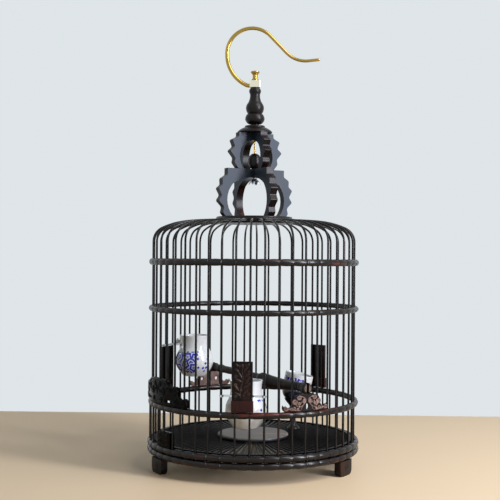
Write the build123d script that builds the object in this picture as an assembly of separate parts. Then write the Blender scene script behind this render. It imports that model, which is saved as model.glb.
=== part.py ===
"""Round bamboo bird cage with a carved crown, a swivelling hook, lift gates, a perch and three cups.

Millimetres, +Z up. The origin is on the table under the middle of the cage and -Y is the front.
The wall is set out in 48 equal steps, counted from the middle of the front towards +X. Each piece
of the wall is drawn at the front and carried round to its own step. Bars and gate rods are
six-sided splits of bamboo, hoops are 48 straight internodes, and turned wood has flat facets.
"""

from build123d import *
from math import cos, radians, sin
import os

os.makedirs("parts", exist_ok=True)

# Wall: one circle of bars that bend over into the top plate
bar_circle_radius = 160.0
bar_count = 48
bar_step = 360 / bar_count
bar_radius = 1.7
bar_sides = 6
ring_inner_sides = bar_count // 2
bar_blind_depth = 8.0
short_bar_depth = 5.0
shoulder_rise = 27.0
shoulder_bend_radius = 24.0
shoulder_bend_angle = 65
crown_bend_radius = 115.0
crown_bend_angle = 23

# Base rings and hoops, from the feet upwards
foot_height = 22.6
base_ring_height = 10.4
base_ring_outset = 7.8
base_ring_outer = bar_circle_radius + base_ring_outset
base_ring_width = 10.0
base_ring_inner = base_ring_outer - base_ring_width
base_ring_bevel = 2.2
gate_hoop_rise = 52.8
gate_hoop_height = 9.6
middle_hoop_rise = 137.8
middle_hoop_height = 8.7
shoulder_hoop_rise = 63.7
shoulder_hoop_height = 10.0
hoop_outset = 6.7
hoop_outer = bar_circle_radius + hoop_outset
hoop_width = 9.1
hoop_inner = hoop_outer - hoop_width
hoop_bevel = 1.2

# Feet
foot_width = 35.0
foot_thickness = 10.8
foot_inset = 0.8
foot_steps = {"left": -8, "right": 8, "rear": 24}

# Floor: a ledged rim inside the base rings, radial slats and a round board on top of them
rim_rise = 4.2
rim_thickness = 4.0
rim_ledge_width = 9.5
rim_lip_width = 5.0
rim_lip_height = 3.3
slat_thickness = 2.2
slat_inner_width = 5.2
slat_outer_width = 7.0
floor_board_radius = 56.5
slat_overlap = 8.5
slat_start_radius = floor_board_radius - slat_overlap
floor_board_thickness = 5.2
floor_board_sides = 36
seat_gap = 0.2

# Top plate
plate_radius = 63.0
plate_thickness = 11.0
bar_seat_depth = 6.0

# Crown: two tiers of crossed boards, half-lapped in the middle of their beams
tier_angle = 30
tier_thickness = 12.0
lower_tier_reach = 66.5
lower_tier_height = 76.0
upper_tier_reach = 46.5
upper_tier_height = 57.5
lap_clearance = 0.1

# Threaded on the shank: cap, gourd, bead, petal washer and nut
cap_radius = 28.0
cap_height = 12.0
cap_sides = 24
gourd_radius = 15.6
gourd_height = 60.5
gourd_sides = 16
bead_radius = 10.5
bead_height = 25.0
bead_sides = 12
shank_radius = 1.3
shank_sides = 12
shank_clearance = 0.2
petal_length = 10.5
petal_half_width = 3.6
petal_thickness = 1.0
petal_droop = 38
washer_radius = 3.4
washer_thickness = 1.6
nut_radius = 2.6
nut_height = 3.2
shank_tail = 3.0

# Swivel block, knob and hook
block_width = 17.8
block_depth = 13.0
block_height = 12.0
block_edge = 1.0
swivel_clearance = 0.08
swivel_gap = 0.3
knob_radius = 7.2
knob_height = 15.0
knob_sides = 12
hook_radius = 3.2
hook_tip_radius = 2.4
hook_sides = 8
hook_start = 3.6
hook_drop = 2.4
hook_run = 5.6
hook_neck_bend_radius = 12.0
hook_neck_bend_angle = 25
hook_lower_bend_radius = 53.2
hook_rise = 2.6
hook_top_bend_radius = 40.0
hook_top_bend_angle = 136
hook_slope_length = 38.0
hook_return_bend_radius = 42.0
hook_return_bend_angle = 52
hook_tip_length = 18.7

# Lift gates: a plaque on a block, with two rods that slide through the gate hoop
gate_steps = {"front": -0.5, "left": -15.5, "rear": 18.5}
rod_radius = 1.5
rod_offset = 3.6
rod_clearance = 0.3
rod_blind_depth = 4.0
rod_grip = 8.0
gate_block_width = 32.0
gate_block_height = 17.0
gate_block_thickness = 5.0
gate_block_edge = 0.8
plaque_width = 30.0
plaque_height = 56.0
plaque_thickness = 4.2
plaque_frame = 2.4
plaque_field_depth = 0.8
gate_back_gap = 0.35
rest_gap = 0.3

# Main door: seven rods under one long carved lintel, and a keeper block on the base ring
door_step = -8
door_rod_count = 7
lintel_half_width = 74.5
lintel_height = 39.0
lintel_back_gap = 0.25
lintel_thickness = 5.2
keeper_step = -7
keeper_width_share = 1.67
keeper_width = keeper_width_share * bar_circle_radius * radians(bar_step)
keeper_height = 22.6

# Perch: a natural branch, a turned bead and slotted ends that straddle two opposite bars
perch_front_step = 4
perch_rear_step = -20
perch_sides = 12
bracket_half_width = 37.5
bracket_height = 27.0
bracket_eye_sides = 8
saddle_depth = 2.4
fork_radius = 8.2
fork_length = 13.0
fork_end_inset = 0.4
fork_edge = 0.8
fork_slot_clearance = 0.3
perch_bead_radius = 6.8
perch_bead_length = 9.0
branch_radius = 11.0

# Cups and what carries them
cup_setback = 50.0
cup_wall = 2.4
cup_base = 3.6
cup_sides = 16
front_cup_radius = 31.0
front_cup_height = 71.0
front_cup_low = 75.0
left_cup_radius = 31.0
left_cup_height = 67.0
left_cup_low = 133.0
rear_cup_setback = 61.0
rear_cup_radius = 23.5
rear_cup_height = 45.0
rear_cup_low = 91.0
rear_cup_tilt = 13
stand_radius = 15.0
stand_lip = 3.0
stand_sides = 12
lug_radius = 4.0
lug_height = 6.0
lug_sides = 8
lug_clearance = 0.5
belly_clearance = 0.7
peg_radius = 1.5
peg_rise = 3.0
hanger_height = 3.0
hanger_thickness = 2.6
clip_clearance = 0.1
clip_wall = 1.3
arm_width = 5.0
arm_thickness = 3.0

# One overrun for all cuts
overrun = 5.0

# Outlines from the foot round to the top of the middle line: shares of reach and height. One
# pair draws a line to that point, two pairs draw an arc through the first to the second.
foot_shares = [[(0.52, 0)], [(0.86, 0.11), (1, 0.38)], [(1, 1)], [(0, 1)]]
keeper_shares = [[(1, 0)], [(1, 0.86)], [(0.94, 0.96), (0.84, 1)], [(0, 1)]]
lower_tier_shares = [
    [(0.81, 0)],
    [(0.885, 0.07)],
    [(0.85, 0.19)],
    [(0.995, 0.32)],
    [(0.91, 0.43)],
    [(1, 0.575)],
    [(0.895, 0.65)],
    [(0.905, 0.78)],
    [(0.765, 0.855)],
    [(0.765, 1)],
    [(0, 1)],
]
lower_arch_shares = [
    [(0.61, 0)],
    [(0.77, 0.37), (0.62, 0.68)],
    [(0.36, 0.79), (0, 0.82)],
]
upper_tier_shares = [
    [(0.69, 0)],
    [(0.84, 0.16)],
    [(0.80, 0.285)],
    [(1, 0.475)],
    [(0.82, 0.60)],
    [(0.92, 0.78)],
    [(0.665, 0.88)],
    [(0.665, 1)],
    [(0, 1)],
]
upper_arch_shares = [
    [(0.48, 0)],
    [(0.63, 0.40), (0.48, 0.68)],
    [(0.28, 0.77), (0, 0.80)],
]
petal_shares = [[(0.45, 0)], [(1, 0.50)], [(0.72, 0.86)], [(0, 1)]]
lintel_shares = [
    [(0.97, 0)],
    [(1, 0.10), (0.99, 0.26)],
    [(0.94, 0.36), (0.88, 0.31)],
    [(0.80, 0.36), (0.76, 0.58)],
    [(0.74, 0.72), (0.64, 0.76)],
    [(0.50, 0.80), (0.42, 0.92)],
    [(0.22, 0.985), (0, 1)],
]
lintel_slot_shares = [(-0.42, 0.16), (0.42, 0.16)]
lintel_slot_length_share = 0.17
lintel_slot_height_share = 0.10
bracket_shares = [
    [(0.88, 0)],
    [(1, 0.12), (0.99, 0.36)],
    [(0.93, 0.42), (0.89, 0.32)],
    [(0.78, 0.22), (0.66, 0.30)],
    [(0.60, 0.44), (0.57, 0.62)],
    [(0.48, 0.84), (0.34, 0.90)],
    [(0.20, 0.98), (0, 1)],
]
bracket_eye_shares = [(0, 0.36, 0.15), (0.36, 0.42, 0.15), (-0.36, 0.42, 0.15)]

# Profiles of turned pieces: shares of radius and height, from the foot upwards
plate_profile_shares = [(0.955, 0), (1, 0.25), (1, 0.66), (0.955, 1)]
floor_board_profile_shares = [(1, 0), (1, 0.72), (0.975, 1)]
cap_profile_shares = [(0.93, 0), (1, 0.12), (0.96, 0.27), (0.82, 0.56), (0.58, 0.78), (0.55, 1)]
gourd_profile_shares = [
    (0.40, 0),
    (0.42, 0.035),
    (0.84, 0.085),
    (1, 0.18),
    (0.93, 0.26),
    (0.73, 0.33),
    (0.88, 0.40),
    (0.93, 0.48),
    (0.80, 0.58),
    (0.56, 0.68),
    (0.51, 0.82),
    (0.60, 0.89),
    (0.60, 0.95),
    (0.46, 1),
]
bead_profile_shares = [(0.30, 0), (0.68, 0.11), (0.95, 0.32), (1, 0.5), (0.95, 0.68), (0.68, 0.89), (0.30, 1)]
knob_profile_shares = [
    (0.62, 0), (0.62, 0.12), (0.42, 0.30), (0.50, 0.52), (0.95, 0.72), (1, 0.84), (0.72, 0.96), (0.40, 1)
]
branch_profile_shares = [
    (0.58, -1),
    (0.70, -0.94),
    (0.56, -0.88),
    (0.68, -0.79),
    (0.56, -0.70),
    (0.54, -0.25),
    (0.57, 0.16),
    (0.94, 0.19),
    (1, 0.24),
    (0.84, 0.46),
    (0.68, 0.80),
    (0.58, 1),
]
perch_bead_profile_shares = [(0.70, 0), (1, 0.30), (1, 0.70), (0.70, 1)]
cup_profile_shares = [(0.52, 0), (0.80, 0.13), (0.98, 0.29), (0.99, 0.45), (0.79, 0.67), (0.75, 0.80), (0.79, 1)]
bowl_profile_shares = [(0.52, 0), (0.84, 0.12), (0.97, 0.30), (1, 0.55), (1, 1)]
stand_profile_shares = [(0.70, 0), (0.62, 0.05), (0.32, 0.12), (0.26, 0.42), (0.34, 0.68), (0.80, 0.88), (1, 1)]
plate_bar_share = 0.45
lug_height_share = 0.86
lug_neck_share = 0.80

# Chords that the arcs of outlines, bars and hook are cut into
outline_chords = 3
shoulder_chords = 3
crown_chords = 1
hook_lower_chords = 3
hook_top_chords = 8
hook_return_chords = 3

# Heights that follow from the stack
base_split = foot_height + base_ring_height
base_top = base_split + base_ring_height
gate_hoop_low = base_top + gate_hoop_rise
gate_hoop_top = gate_hoop_low + gate_hoop_height
middle_hoop_low = gate_hoop_top + middle_hoop_rise
middle_hoop_top = middle_hoop_low + middle_hoop_height
shoulder_hoop_low = middle_hoop_top + shoulder_hoop_rise
shoulder_hoop_top = shoulder_hoop_low + shoulder_hoop_height
shoulder_z = shoulder_hoop_top + shoulder_rise
rim_low = base_split + rim_rise
rim_seat = rim_low + rim_thickness
slat_top = rim_seat + slat_thickness

# Distances from the middle that follow from the bar circle
half_step = bar_step / 2
ring_flat_share = cos(radians(half_step))
rod_flat_share = cos(radians(180 / bar_sides))
bar_back = bar_circle_radius + bar_radius * rod_flat_share
rod_circle_radius = bar_circle_radius + rod_offset
bar_end_radius = plate_radius - bar_seat_depth


def at_step(shape, step):
    """A piece of the wall, drawn at the front and carried round to its step."""
    return Rot(0, 0, step * bar_step) * shape


def outline(steps, reach, height):
    """The corners of an outline of shares, with each arc cut into chords."""
    corners = []
    for step in steps:
        points = [Vector(reach * across, height * up) for across, up in step]
        if points[1:]:
            arc = ThreePointArc(corners[-1], *points)
            corners += [arc @ (chord / outline_chords) for chord in range(1, outline_chords)]
        corners.append(points[-1])
    return corners


def mirrored_face(steps, reach, height):
    """The face inside an outline of shares and its mirror image across the middle line."""
    right = outline(steps, reach, height)
    left = [Vector(-corner.X, corner.Y) for corner in reversed(right) if corner.X > 0]
    return make_face(Polyline(*right, *left, close=True))


def faceted(levels, sides):
    """A solid with flat facets between level regular polygons, each given by its radius and height."""
    rings = [
        [Vector(radius, 0, height).rotate(Axis.Z, 360 * corner / sides) for corner in range(sides)]
        for radius, height in levels
    ]
    facets = [
        (low[corner - 1], low[corner], high[corner], high[corner - 1])
        for low, high in zip(rings, rings[1:])
        for corner in range(sides)
    ]
    return Solid(Shell([Face(Wire.make_polygon(corners)) for corners in (rings[0], rings[-1], *facets)]))


def turned_wood(profile, radius, height, sides):
    """A turned piece from a profile of shares."""
    return faceted([(across * radius, up * height) for across, up in profile], sides)


def post(distance, radius, low, high, sides=bar_sides):
    """An upright many-sided rod or hole at a distance out along the front."""
    return extrude(Pos(0, -distance, low) * RegularPolygon(radius, sides), amount=high - low)


def rod_along(plane, course, radius, sides, end_radius=None):
    """A many-sided rod along tangent lines and arcs, each with the number of chords it is cut into."""
    spots = [(course[0][0], 0)]
    for edge, chords in course:
        spots += [(edge, (chord + 1) / chords) for chord in range(chords)]
    radii = [radius] * (len(spots) - 1) + [end_radius or radius]
    sections = [
        plane * (Plane(origin=edge @ share, x_dir=(0, 0, 1), z_dir=edge % share) * RegularPolygon(size, sides))
        for (edge, share), size in zip(spots, radii)
    ]
    return loft(sections, ruled=True)


def wall_piece(face, inner, outer, low, high):
    """A face drawn from the front and bent into a band of the wall, with one corner at each bar."""
    slab = extrude(Plane.XZ.offset(inner / 2) * face, amount=outer - inner / 2)
    low, high = low - overrun, high + overrun
    return slab & (post(0, outer, low, high, bar_count) - post(0, inner, low, high, bar_count))


def save(node, *solids):
    """One STEP file for each named piece, or for one set of like pieces."""
    shape = solids[0] if len(solids) == 1 else Compound(label=node, children=list(solids))
    export_step(shape, f"parts/{node}.step")


# Which steps hold gate rods, and which hold bars that run all the way down
gate_rod_steps = [step + side / 2 for step in gate_steps.values() for side in (-1, 1)]
door_half = door_rod_count // 2
door_rod_steps = [door_step + offset for offset in range(-door_half, door_half + 1)]
rod_steps = gate_rod_steps + door_rod_steps
open_steps = {round(step) % bar_count for step in rod_steps}
long_bar_steps = [step for step in range(bar_count) if step not in open_steps]


# Bars: up the wall, over the shoulder and almost level into the rim of the top plate
def bar(low):
    """One bar from its lower seat, and the height of its upper end."""
    rise = Line((bar_circle_radius, low), (bar_circle_radius, shoulder_z))
    shoulder = JernArc(rise @ 1, rise % 1, shoulder_bend_radius, shoulder_bend_angle)
    crown = JernArc(shoulder @ 1, shoulder % 1, crown_bend_radius, crown_bend_angle)
    heading = crown % 1
    level = Line(crown @ 1, crown @ 1 + heading * ((bar_end_radius - (crown @ 1).X) / heading.X))
    course = [(rise, 1), (shoulder, shoulder_chords), (crown, crown_chords), (level, 1)]
    radial = Plane(origin=(0, 0, 0), x_dir=(0, -1, 0), z_dir=(-1, 0, 0))
    return rod_along(radial, course, bar_radius, bar_sides), (level @ 1).Y


long_bar, bar_end_height = bar(base_top - bar_blind_depth)
short_bar, _ = bar(gate_hoop_top - short_bar_depth)
quarter = bar_count // 4
for index, side in enumerate(("front", "right", "rear", "left")):
    steps = [step for step in long_bar_steps if (step + quarter // 2) % bar_count // quarter == index]
    save(f"bars_{side}", *[at_step(long_bar, step) for step in steps])
save("bars_over_gates", *[at_step(short_bar, step) for step in gate_rod_steps])
save("bars_over_door", *[at_step(short_bar, step) for step in door_rod_steps])


# Rings and hoops: outside, one corner at each bar and a ridge; inside, one at every second bar
def ring(inner, outer, low, height, bevel):
    """A bamboo ring of straight internodes."""
    high = low + height
    levels = [(outer - bevel, low), (outer, (low + high) / 2), (outer - bevel, high)]
    return faceted(levels, bar_count) - post(0, inner, low - overrun, high + overrun, ring_inner_sides)


rod_hole_radius = rod_radius + rod_clearance / rod_flat_share


def with_rod_holes(shape, low, high):
    """The shape with a sliding hole for each gate and door rod."""
    hole = post(rod_circle_radius, rod_hole_radius, low, high)
    return shape.cut(*[at_step(hole, step) for step in rod_steps])


rod_low = base_top - rod_blind_depth
lower_ring = ring(base_ring_inner, base_ring_outer, foot_height, base_ring_height, base_ring_bevel)
upper_ring = ring(base_ring_inner, base_ring_outer, base_split, base_ring_height, base_ring_bevel)
gate_hoop = ring(hoop_inner, hoop_outer, gate_hoop_low, gate_hoop_height, hoop_bevel)
save("base_ring_lower", lower_ring)
save("base_ring_upper", with_rod_holes(upper_ring, rod_low - rest_gap, base_top + overrun))
save("gate_hoop", with_rod_holes(gate_hoop, gate_hoop_low - overrun, gate_hoop_top + overrun))
save("middle_hoop", ring(hoop_inner, hoop_outer, middle_hoop_low, middle_hoop_height, hoop_bevel))
save("shoulder_hoop", ring(hoop_inner, hoop_outer, shoulder_hoop_low, shoulder_hoop_height, hoop_bevel))

# Feet under the lower base ring
foot_face = mirrored_face(foot_shares, foot_width / 2, foot_height)
foot_outer = base_ring_outer - foot_inset
foot = wall_piece(foot_face, foot_outer - foot_thickness, foot_outer, 0, foot_height)
for side, step in foot_steps.items():
    save(f"foot_{side}", at_step(foot, step))

# Floor
rim_inner = base_ring_inner - rim_ledge_width
rim_lip_inner = base_ring_inner - rim_lip_width
rim_top = rim_seat + rim_lip_height
rim = post(0, base_ring_inner, rim_low, rim_top, ring_inner_sides)
rim -= post(0, rim_lip_inner, rim_seat, rim_top + overrun, ring_inner_sides)
rim -= post(0, rim_inner, rim_low - overrun, rim_seat + overrun, ring_inner_sides)
save("floor_rim", rim)
slat_end = rim_lip_inner * cos(radians(180 / ring_inner_sides)) - seat_gap
slat_corners = [
    (-slat_inner_width / 2, -slat_start_radius),
    (slat_inner_width / 2, -slat_start_radius),
    (slat_outer_width / 2, -slat_end),
    (-slat_outer_width / 2, -slat_end),
]
slat = extrude(Pos(0, 0, rim_seat) * make_face(Polyline(*slat_corners, close=True)), amount=slat_thickness)
save("floor_slats", *[at_step(slat, step + 1 / 2) for step in range(bar_count)])
floor_board = turned_wood(
    floor_board_profile_shares, floor_board_radius, floor_board_thickness, floor_board_sides
)
save("floor_board", Pos(0, 0, slat_top) * floor_board)

# Top plate, set so that the bars enter its rim
plate_low = bar_end_height - plate_bar_share * plate_thickness
plate_top = plate_low + plate_thickness
plate = turned_wood(plate_profile_shares, plate_radius, plate_thickness, bar_count)
save("top_plate", Pos(0, 0, plate_low) * plate)


# Crown tiers
shank_hole_radius = shank_radius + shank_clearance


def tier_board(shares, arch_shares, reach, height, slot_on_top):
    """A toothed board with an arched opening, slotted for the board that crosses it."""
    face = mirrored_face(shares, reach, height) - mirrored_face(arch_shares, reach, height)
    board = extrude(Plane.XZ * face, amount=tier_thickness / 2, both=True)
    beam_low = arch_shares[-1][-1][1] * height
    lap = (height - beam_low) / 2
    slot_low, slot_high = (height - lap, height + overrun) if slot_on_top else (beam_low - overrun, height - lap)
    slot_width = tier_thickness + 2 * lap_clearance
    slot = Pos(0, 0, (slot_low + slot_high) / 2) * Box(slot_width, slot_width, slot_high - slot_low)
    return board - slot - post(0, shank_hole_radius, 0, height + overrun, shank_sides)


lower_top = plate_top + lower_tier_height
upper_top = lower_top + upper_tier_height
tiers = {
    "lower": (lower_tier_shares, lower_arch_shares, lower_tier_reach, lower_tier_height, plate_top),
    "upper": (upper_tier_shares, upper_arch_shares, upper_tier_reach, upper_tier_height, lower_top),
}
for name, (*sizes, low) in tiers.items():
    save(f"{name}_tier_board_a", Pos(0, 0, low) * Rot(0, 0, tier_angle - 90) * tier_board(*sizes, True))
    save(f"{name}_tier_board_b", Pos(0, 0, low) * Rot(0, 0, tier_angle) * tier_board(*sizes, False))

# Cap, gourd and bead on the shank
gourd_low = upper_top + cap_height
gourd_top = gourd_low + gourd_height
bore = post(0, shank_hole_radius, plate_top, gourd_top + overrun, shank_sides)
cap = Pos(0, 0, upper_top) * turned_wood(cap_profile_shares, cap_radius, cap_height, cap_sides)
gourd = Pos(0, 0, gourd_low) * turned_wood(gourd_profile_shares, gourd_radius, gourd_height, gourd_sides)
bead = turned_wood(bead_profile_shares, bead_radius, bead_height, bead_sides)
save("crown_cap", cap - bore)
save("gourd", gourd - bore)
save("crown_bead", Pos(0, 0, lower_top + seat_gap) * bead - bore)

# Swivel block, turning on the shank between the gourd and the knob
block_low = gourd_top + swivel_gap
block_top = block_low + block_height
knob_low = block_top + swivel_gap
hook_z = block_low + block_height / 2
block = chamfer(Box(block_width, block_depth, block_height).edges().filter_by(Axis.Z), block_edge)
swivel_bore = Cylinder(shank_radius + swivel_clearance, block_height + overrun)

# Hook: out of the block's side, up, over the top, down a slope and out to an almost level tip
root = Line((-hook_start, hook_z - hook_drop), (-hook_start - hook_run, hook_z - hook_drop))
neck_bend = JernArc(root @ 1, root % 1, hook_neck_bend_radius, -hook_neck_bend_angle)
lower_bend = JernArc(neck_bend @ 1, neck_bend % 1, hook_lower_bend_radius, hook_neck_bend_angle - 90)
rise = Line(lower_bend @ 1, lower_bend @ 1 + (lower_bend % 1) * hook_rise)
top_bend = JernArc(rise @ 1, rise % 1, hook_top_bend_radius, -hook_top_bend_angle)
slope = Line(top_bend @ 1, top_bend @ 1 + (top_bend % 1) * hook_slope_length)
return_bend = JernArc(slope @ 1, slope % 1, hook_return_bend_radius, hook_return_bend_angle)
tip = Line(return_bend @ 1, return_bend @ 1 + (return_bend % 1) * hook_tip_length)
hook_course = [
    (root, 1),
    (neck_bend, 1),
    (lower_bend, hook_lower_chords),
    (rise, 1),
    (top_bend, hook_top_chords),
    (slope, 1),
    (return_bend, hook_return_chords),
    (tip, 1),
]
save("hook", rod_along(Plane.XZ, hook_course, hook_radius, hook_sides, hook_tip_radius))
hook_socket = rod_along(Plane.XZ, [(root, 1)], hook_radius, hook_sides)
save("swivel_block", Pos(0, 0, hook_z) * (block - swivel_bore) - hook_socket)

# Shank, with the knob on top and the petal washer and nut under the lower beam
beam_low = plate_top + lower_arch_shares[-1][-1][1] * lower_tier_height
washer_top = beam_low - seat_gap
nut_top = washer_top - washer_thickness
nut_low = nut_top - nut_height
shank_top = knob_low + knob_height / 2
shank = post(0, shank_radius, nut_low - shank_tail, shank_top, shank_sides)
knob = Pos(0, 0, knob_low) * turned_wood(knob_profile_shares, knob_radius, knob_height, knob_sides)
washer = post(0, washer_radius, nut_top, washer_top, shank_sides)
petal = extrude(mirrored_face(petal_shares, petal_half_width, petal_length), amount=-petal_thickness)
for place in range(4):
    washer += Pos(0, 0, washer_top) * Rot(0, 0, tier_angle + 45 + 90 * place) * Rot(-petal_droop, 0, 0) * petal
save("shank", shank)
save("knob", knob - shank)
nut = post(0, nut_radius, nut_low, nut_top)
save("petal_washer", washer - nut - post(0, shank_hole_radius, nut_top, washer_top, shank_sides))
save("shank_nut", nut - shank)

# Lift gates
gate_low = gate_hoop_top + rest_gap
plaque_low = gate_low + gate_block_height
plaque_middle = plaque_low + plaque_height / 2
gate_back = bar_back * ring_flat_share + gate_back_gap
gate_rod = post(rod_circle_radius, rod_radius, rod_low, plaque_low + rod_grip)
gate_rods = [at_step(gate_rod, side / 2) for side in (-1, 1)]
gate_block = Pos(0, -gate_back - gate_block_thickness / 2, gate_low + gate_block_height / 2) * Box(
    gate_block_width, gate_block_thickness, gate_block_height
)
gate_block = chamfer(gate_block.edges().filter_by(Axis.Z), gate_block_edge).cut(*gate_rods)
plaque = Pos(0, -gate_back - plaque_thickness / 2, plaque_middle) * Box(
    plaque_width, plaque_thickness, plaque_height
)
field = Pos(0, -gate_back - plaque_thickness, plaque_middle) * Box(
    plaque_width - 2 * plaque_frame, 2 * plaque_field_depth, plaque_height - 2 * plaque_frame
)
plaque = (plaque - field).cut(*gate_rods)
for name, step in gate_steps.items():
    save(f"{name}_gate_block", at_step(gate_block, step))
    save(f"{name}_gate_plaque", at_step(plaque, step))
    save(f"{name}_gate_rods", *[at_step(rod, step) for rod in gate_rods])

# Main door
lintel_inner = bar_back + lintel_back_gap
lintel_outer = lintel_inner + lintel_thickness
lintel_face = mirrored_face(lintel_shares, lintel_half_width, lintel_height)
for across, up in lintel_slot_shares:
    slot = Rectangle(lintel_slot_length_share * lintel_half_width, lintel_slot_height_share * lintel_height)
    lintel_face -= Pos(across * lintel_half_width, up * lintel_height) * slot
lintel = wall_piece(Pos(0, gate_low) * lintel_face, lintel_inner, lintel_outer, gate_low, gate_low + lintel_height)
door_rod = post(rod_circle_radius, rod_radius, rod_low, gate_low + rod_grip)
door_rods = [at_step(door_rod, offset) for offset in range(-door_half, door_half + 1)]
save("door_lintel", at_step(lintel.cut(*door_rods), door_step))
save("door_rods", *[at_step(rod, door_step) for rod in door_rods])
keeper_face = Pos(0, base_top) * mirrored_face(keeper_shares, keeper_width / 2, keeper_height)
keeper = wall_piece(keeper_face, base_ring_inner, foot_outer, base_top, base_top + keeper_height)
keeper -= post(rod_circle_radius, rod_hole_radius, base_top - overrun, base_top + keeper_height + overrun)
save("door_keeper", at_step(keeper, keeper_step))

# Perch brackets, pierced, with a saddle for the perch
perch_z = gate_hoop_top + bracket_height - saddle_depth + rest_gap + fork_radius
bracket_face = mirrored_face(bracket_shares, bracket_half_width, bracket_height)
for across, up, size in bracket_eye_shares:
    eye = RegularPolygon(size * bracket_height, bracket_eye_sides)
    bracket_face -= Pos(across * bracket_half_width, up * bracket_height) * eye
bracket_top = gate_hoop_top + bracket_height
bracket = wall_piece(Pos(0, gate_hoop_top) * bracket_face, lintel_inner, lintel_outer, gate_hoop_top, bracket_top)


def lying(shape):
    """A piece drawn upright, laid down along the front direction at the height of the perch."""
    return Pos(0, 0, perch_z) * Rot(90, 0, 0) * shape


bracket -= lying(post(0, fork_radius + rest_gap, 0, lintel_outer + overrun, perch_sides))
save("perch_bracket_front", at_step(bracket, perch_front_step))
save("perch_bracket_rear", at_step(bracket, perch_rear_step))

# Perch: branch, bead, and the forked ends
fork_end = base_ring_outer - fork_end_inset
fork_start = fork_end - fork_length
branch_end = fork_start - perch_bead_length
fork_slot_start = bar_circle_radius - bar_radius - fork_slot_clearance
fork_slot_length = fork_end - fork_slot_start + overrun


def fork(start):
    """A slotted end from its shoulder to just outside the wall."""
    body = lying(post(0, fork_radius, start, fork_end, perch_sides))
    body = chamfer(body.edges().group_by(Axis.Y)[0], fork_edge)
    return body - Pos(0, -fork_slot_start - fork_slot_length / 2, perch_z) * Box(
        2 * (bar_radius + fork_slot_clearance), fork_slot_length, 4 * fork_radius
    )


branch = lying(turned_wood(branch_profile_shares, branch_radius, branch_end, perch_sides))
perch_bead = turned_wood(perch_bead_profile_shares, perch_bead_radius, perch_bead_length, perch_sides)
save("perch_branch", at_step(branch, perch_front_step))
save("perch_bead", at_step(lying(Pos(0, 0, branch_end) * perch_bead), perch_front_step))
save("perch_fork_front", at_step(fork(fork_start), perch_front_step))
save("perch_fork_rear", at_step(fork(branch_end), perch_rear_step))

# Cups
cup_axis = bar_circle_radius - cup_setback


def cup_body(profile, radius, height, growth=0):
    """The outside of a cup on its foot, or the pocket that it drops into when grown."""
    levels = [(across * radius + growth, up * height - growth) for across, up in profile]
    return faceted(levels, cup_sides)


def cup_hollow(profile, radius, height):
    """The space inside a cup, open at the rim."""
    levels = [(across * radius - cup_wall, up * height) for across, up in profile]
    return faceted([(levels[0][0], cup_base), *levels[1:], (levels[-1][0], height + overrun)], cup_sides)


def hung_cup(radius, height, low):
    """A cup with a lug towards the bars, and the hanger whose peg goes through the lug."""
    lug_top = lug_height_share * height
    lug_low = lug_top - lug_height
    lug_out = radius + belly_clearance + peg_radius
    lug = post(lug_out, lug_radius, lug_low, lug_top, lug_sides)
    lug += Pos(0, -lug_out / 2, (lug_low + lug_top) / 2) * Box(2 * lug_neck_share * lug_radius, lug_out, lug_height)
    lug_hole = post(lug_out, peg_radius + lug_clearance, lug_low - overrun, lug_top + overrun, lug_sides)
    sizes = cup_profile_shares, radius, height
    cup = cup_body(*sizes) + lug - cup_hollow(*sizes) - lug_hole
    strip_top = low + lug_low - rest_gap
    strip_low = strip_top - hanger_height
    clip_angle = radians(3 * half_step)
    strip_out = bar_circle_radius * cos(clip_angle) - bar_radius - clip_clearance
    strip = Pos(0, -strip_out + hanger_thickness / 2, (strip_low + strip_top) / 2) * Box(
        2 * bar_circle_radius * sin(clip_angle), hanger_thickness, hanger_height
    )
    peg_out = cup_axis + lug_out
    arm_length = strip_out - peg_out + peg_radius
    arm = Pos(0, -strip_out + arm_length / 2, strip_top - arm_thickness / 2) * Box(
        arm_width, arm_length, arm_thickness
    )
    peg = post(peg_out, peg_radius, strip_top - arm_thickness, strip_top + lug_height + peg_rise, lug_sides)
    hanger = strip + arm + peg
    for side in (-1, 1):
        clip = post(bar_circle_radius, bar_radius + clip_clearance + clip_wall, strip_low, strip_top)
        bar_hole = post(bar_circle_radius, bar_radius + clip_clearance, strip_low - overrun, strip_top + overrun)
        hanger = hanger + at_step(clip, 3 * side / 2) - at_step(bar_hole, 3 * side / 2)
    return Pos(0, -cup_axis, low) * cup, hanger


for name, sizes in {
    "front": (front_cup_radius, front_cup_height, front_cup_low),
    "left": (left_cup_radius, left_cup_height, left_cup_low),
}.items():
    cup, hanger = hung_cup(*sizes)
    save(f"{name}_cup", at_step(cup, gate_steps[name]))
    save(f"{name}_cup_hanger", at_step(hanger, gate_steps[name]))

# The smallest cup leans in a turned stand on the floor slats
stand_angle = radians(gate_steps["rear"] * bar_step)
stand_axis = bar_circle_radius - rear_cup_setback
stand_x, stand_y = stand_axis * sin(stand_angle), -stand_axis * cos(stand_angle)
lean = Pos(stand_x, stand_y, rear_cup_low) * Rot(0, rear_cup_tilt, 0)
rear_cup_sizes = bowl_profile_shares, rear_cup_radius, rear_cup_height
save("rear_cup", lean * (cup_body(*rear_cup_sizes) - cup_hollow(*rear_cup_sizes)))
stand_height = rear_cup_low + stand_lip - slat_top
stand = turned_wood(stand_profile_shares, stand_radius, stand_height, stand_sides)
pocket = lean * cup_body(*rear_cup_sizes, rest_gap)
save("rear_cup_stand", Pos(stand_x, stand_y, slat_top) * stand - pocket)
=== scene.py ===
import bmesh
import bpy
from math import cos, hypot, pi, radians, sin
from mathutils import Matrix, Vector, noise


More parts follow.
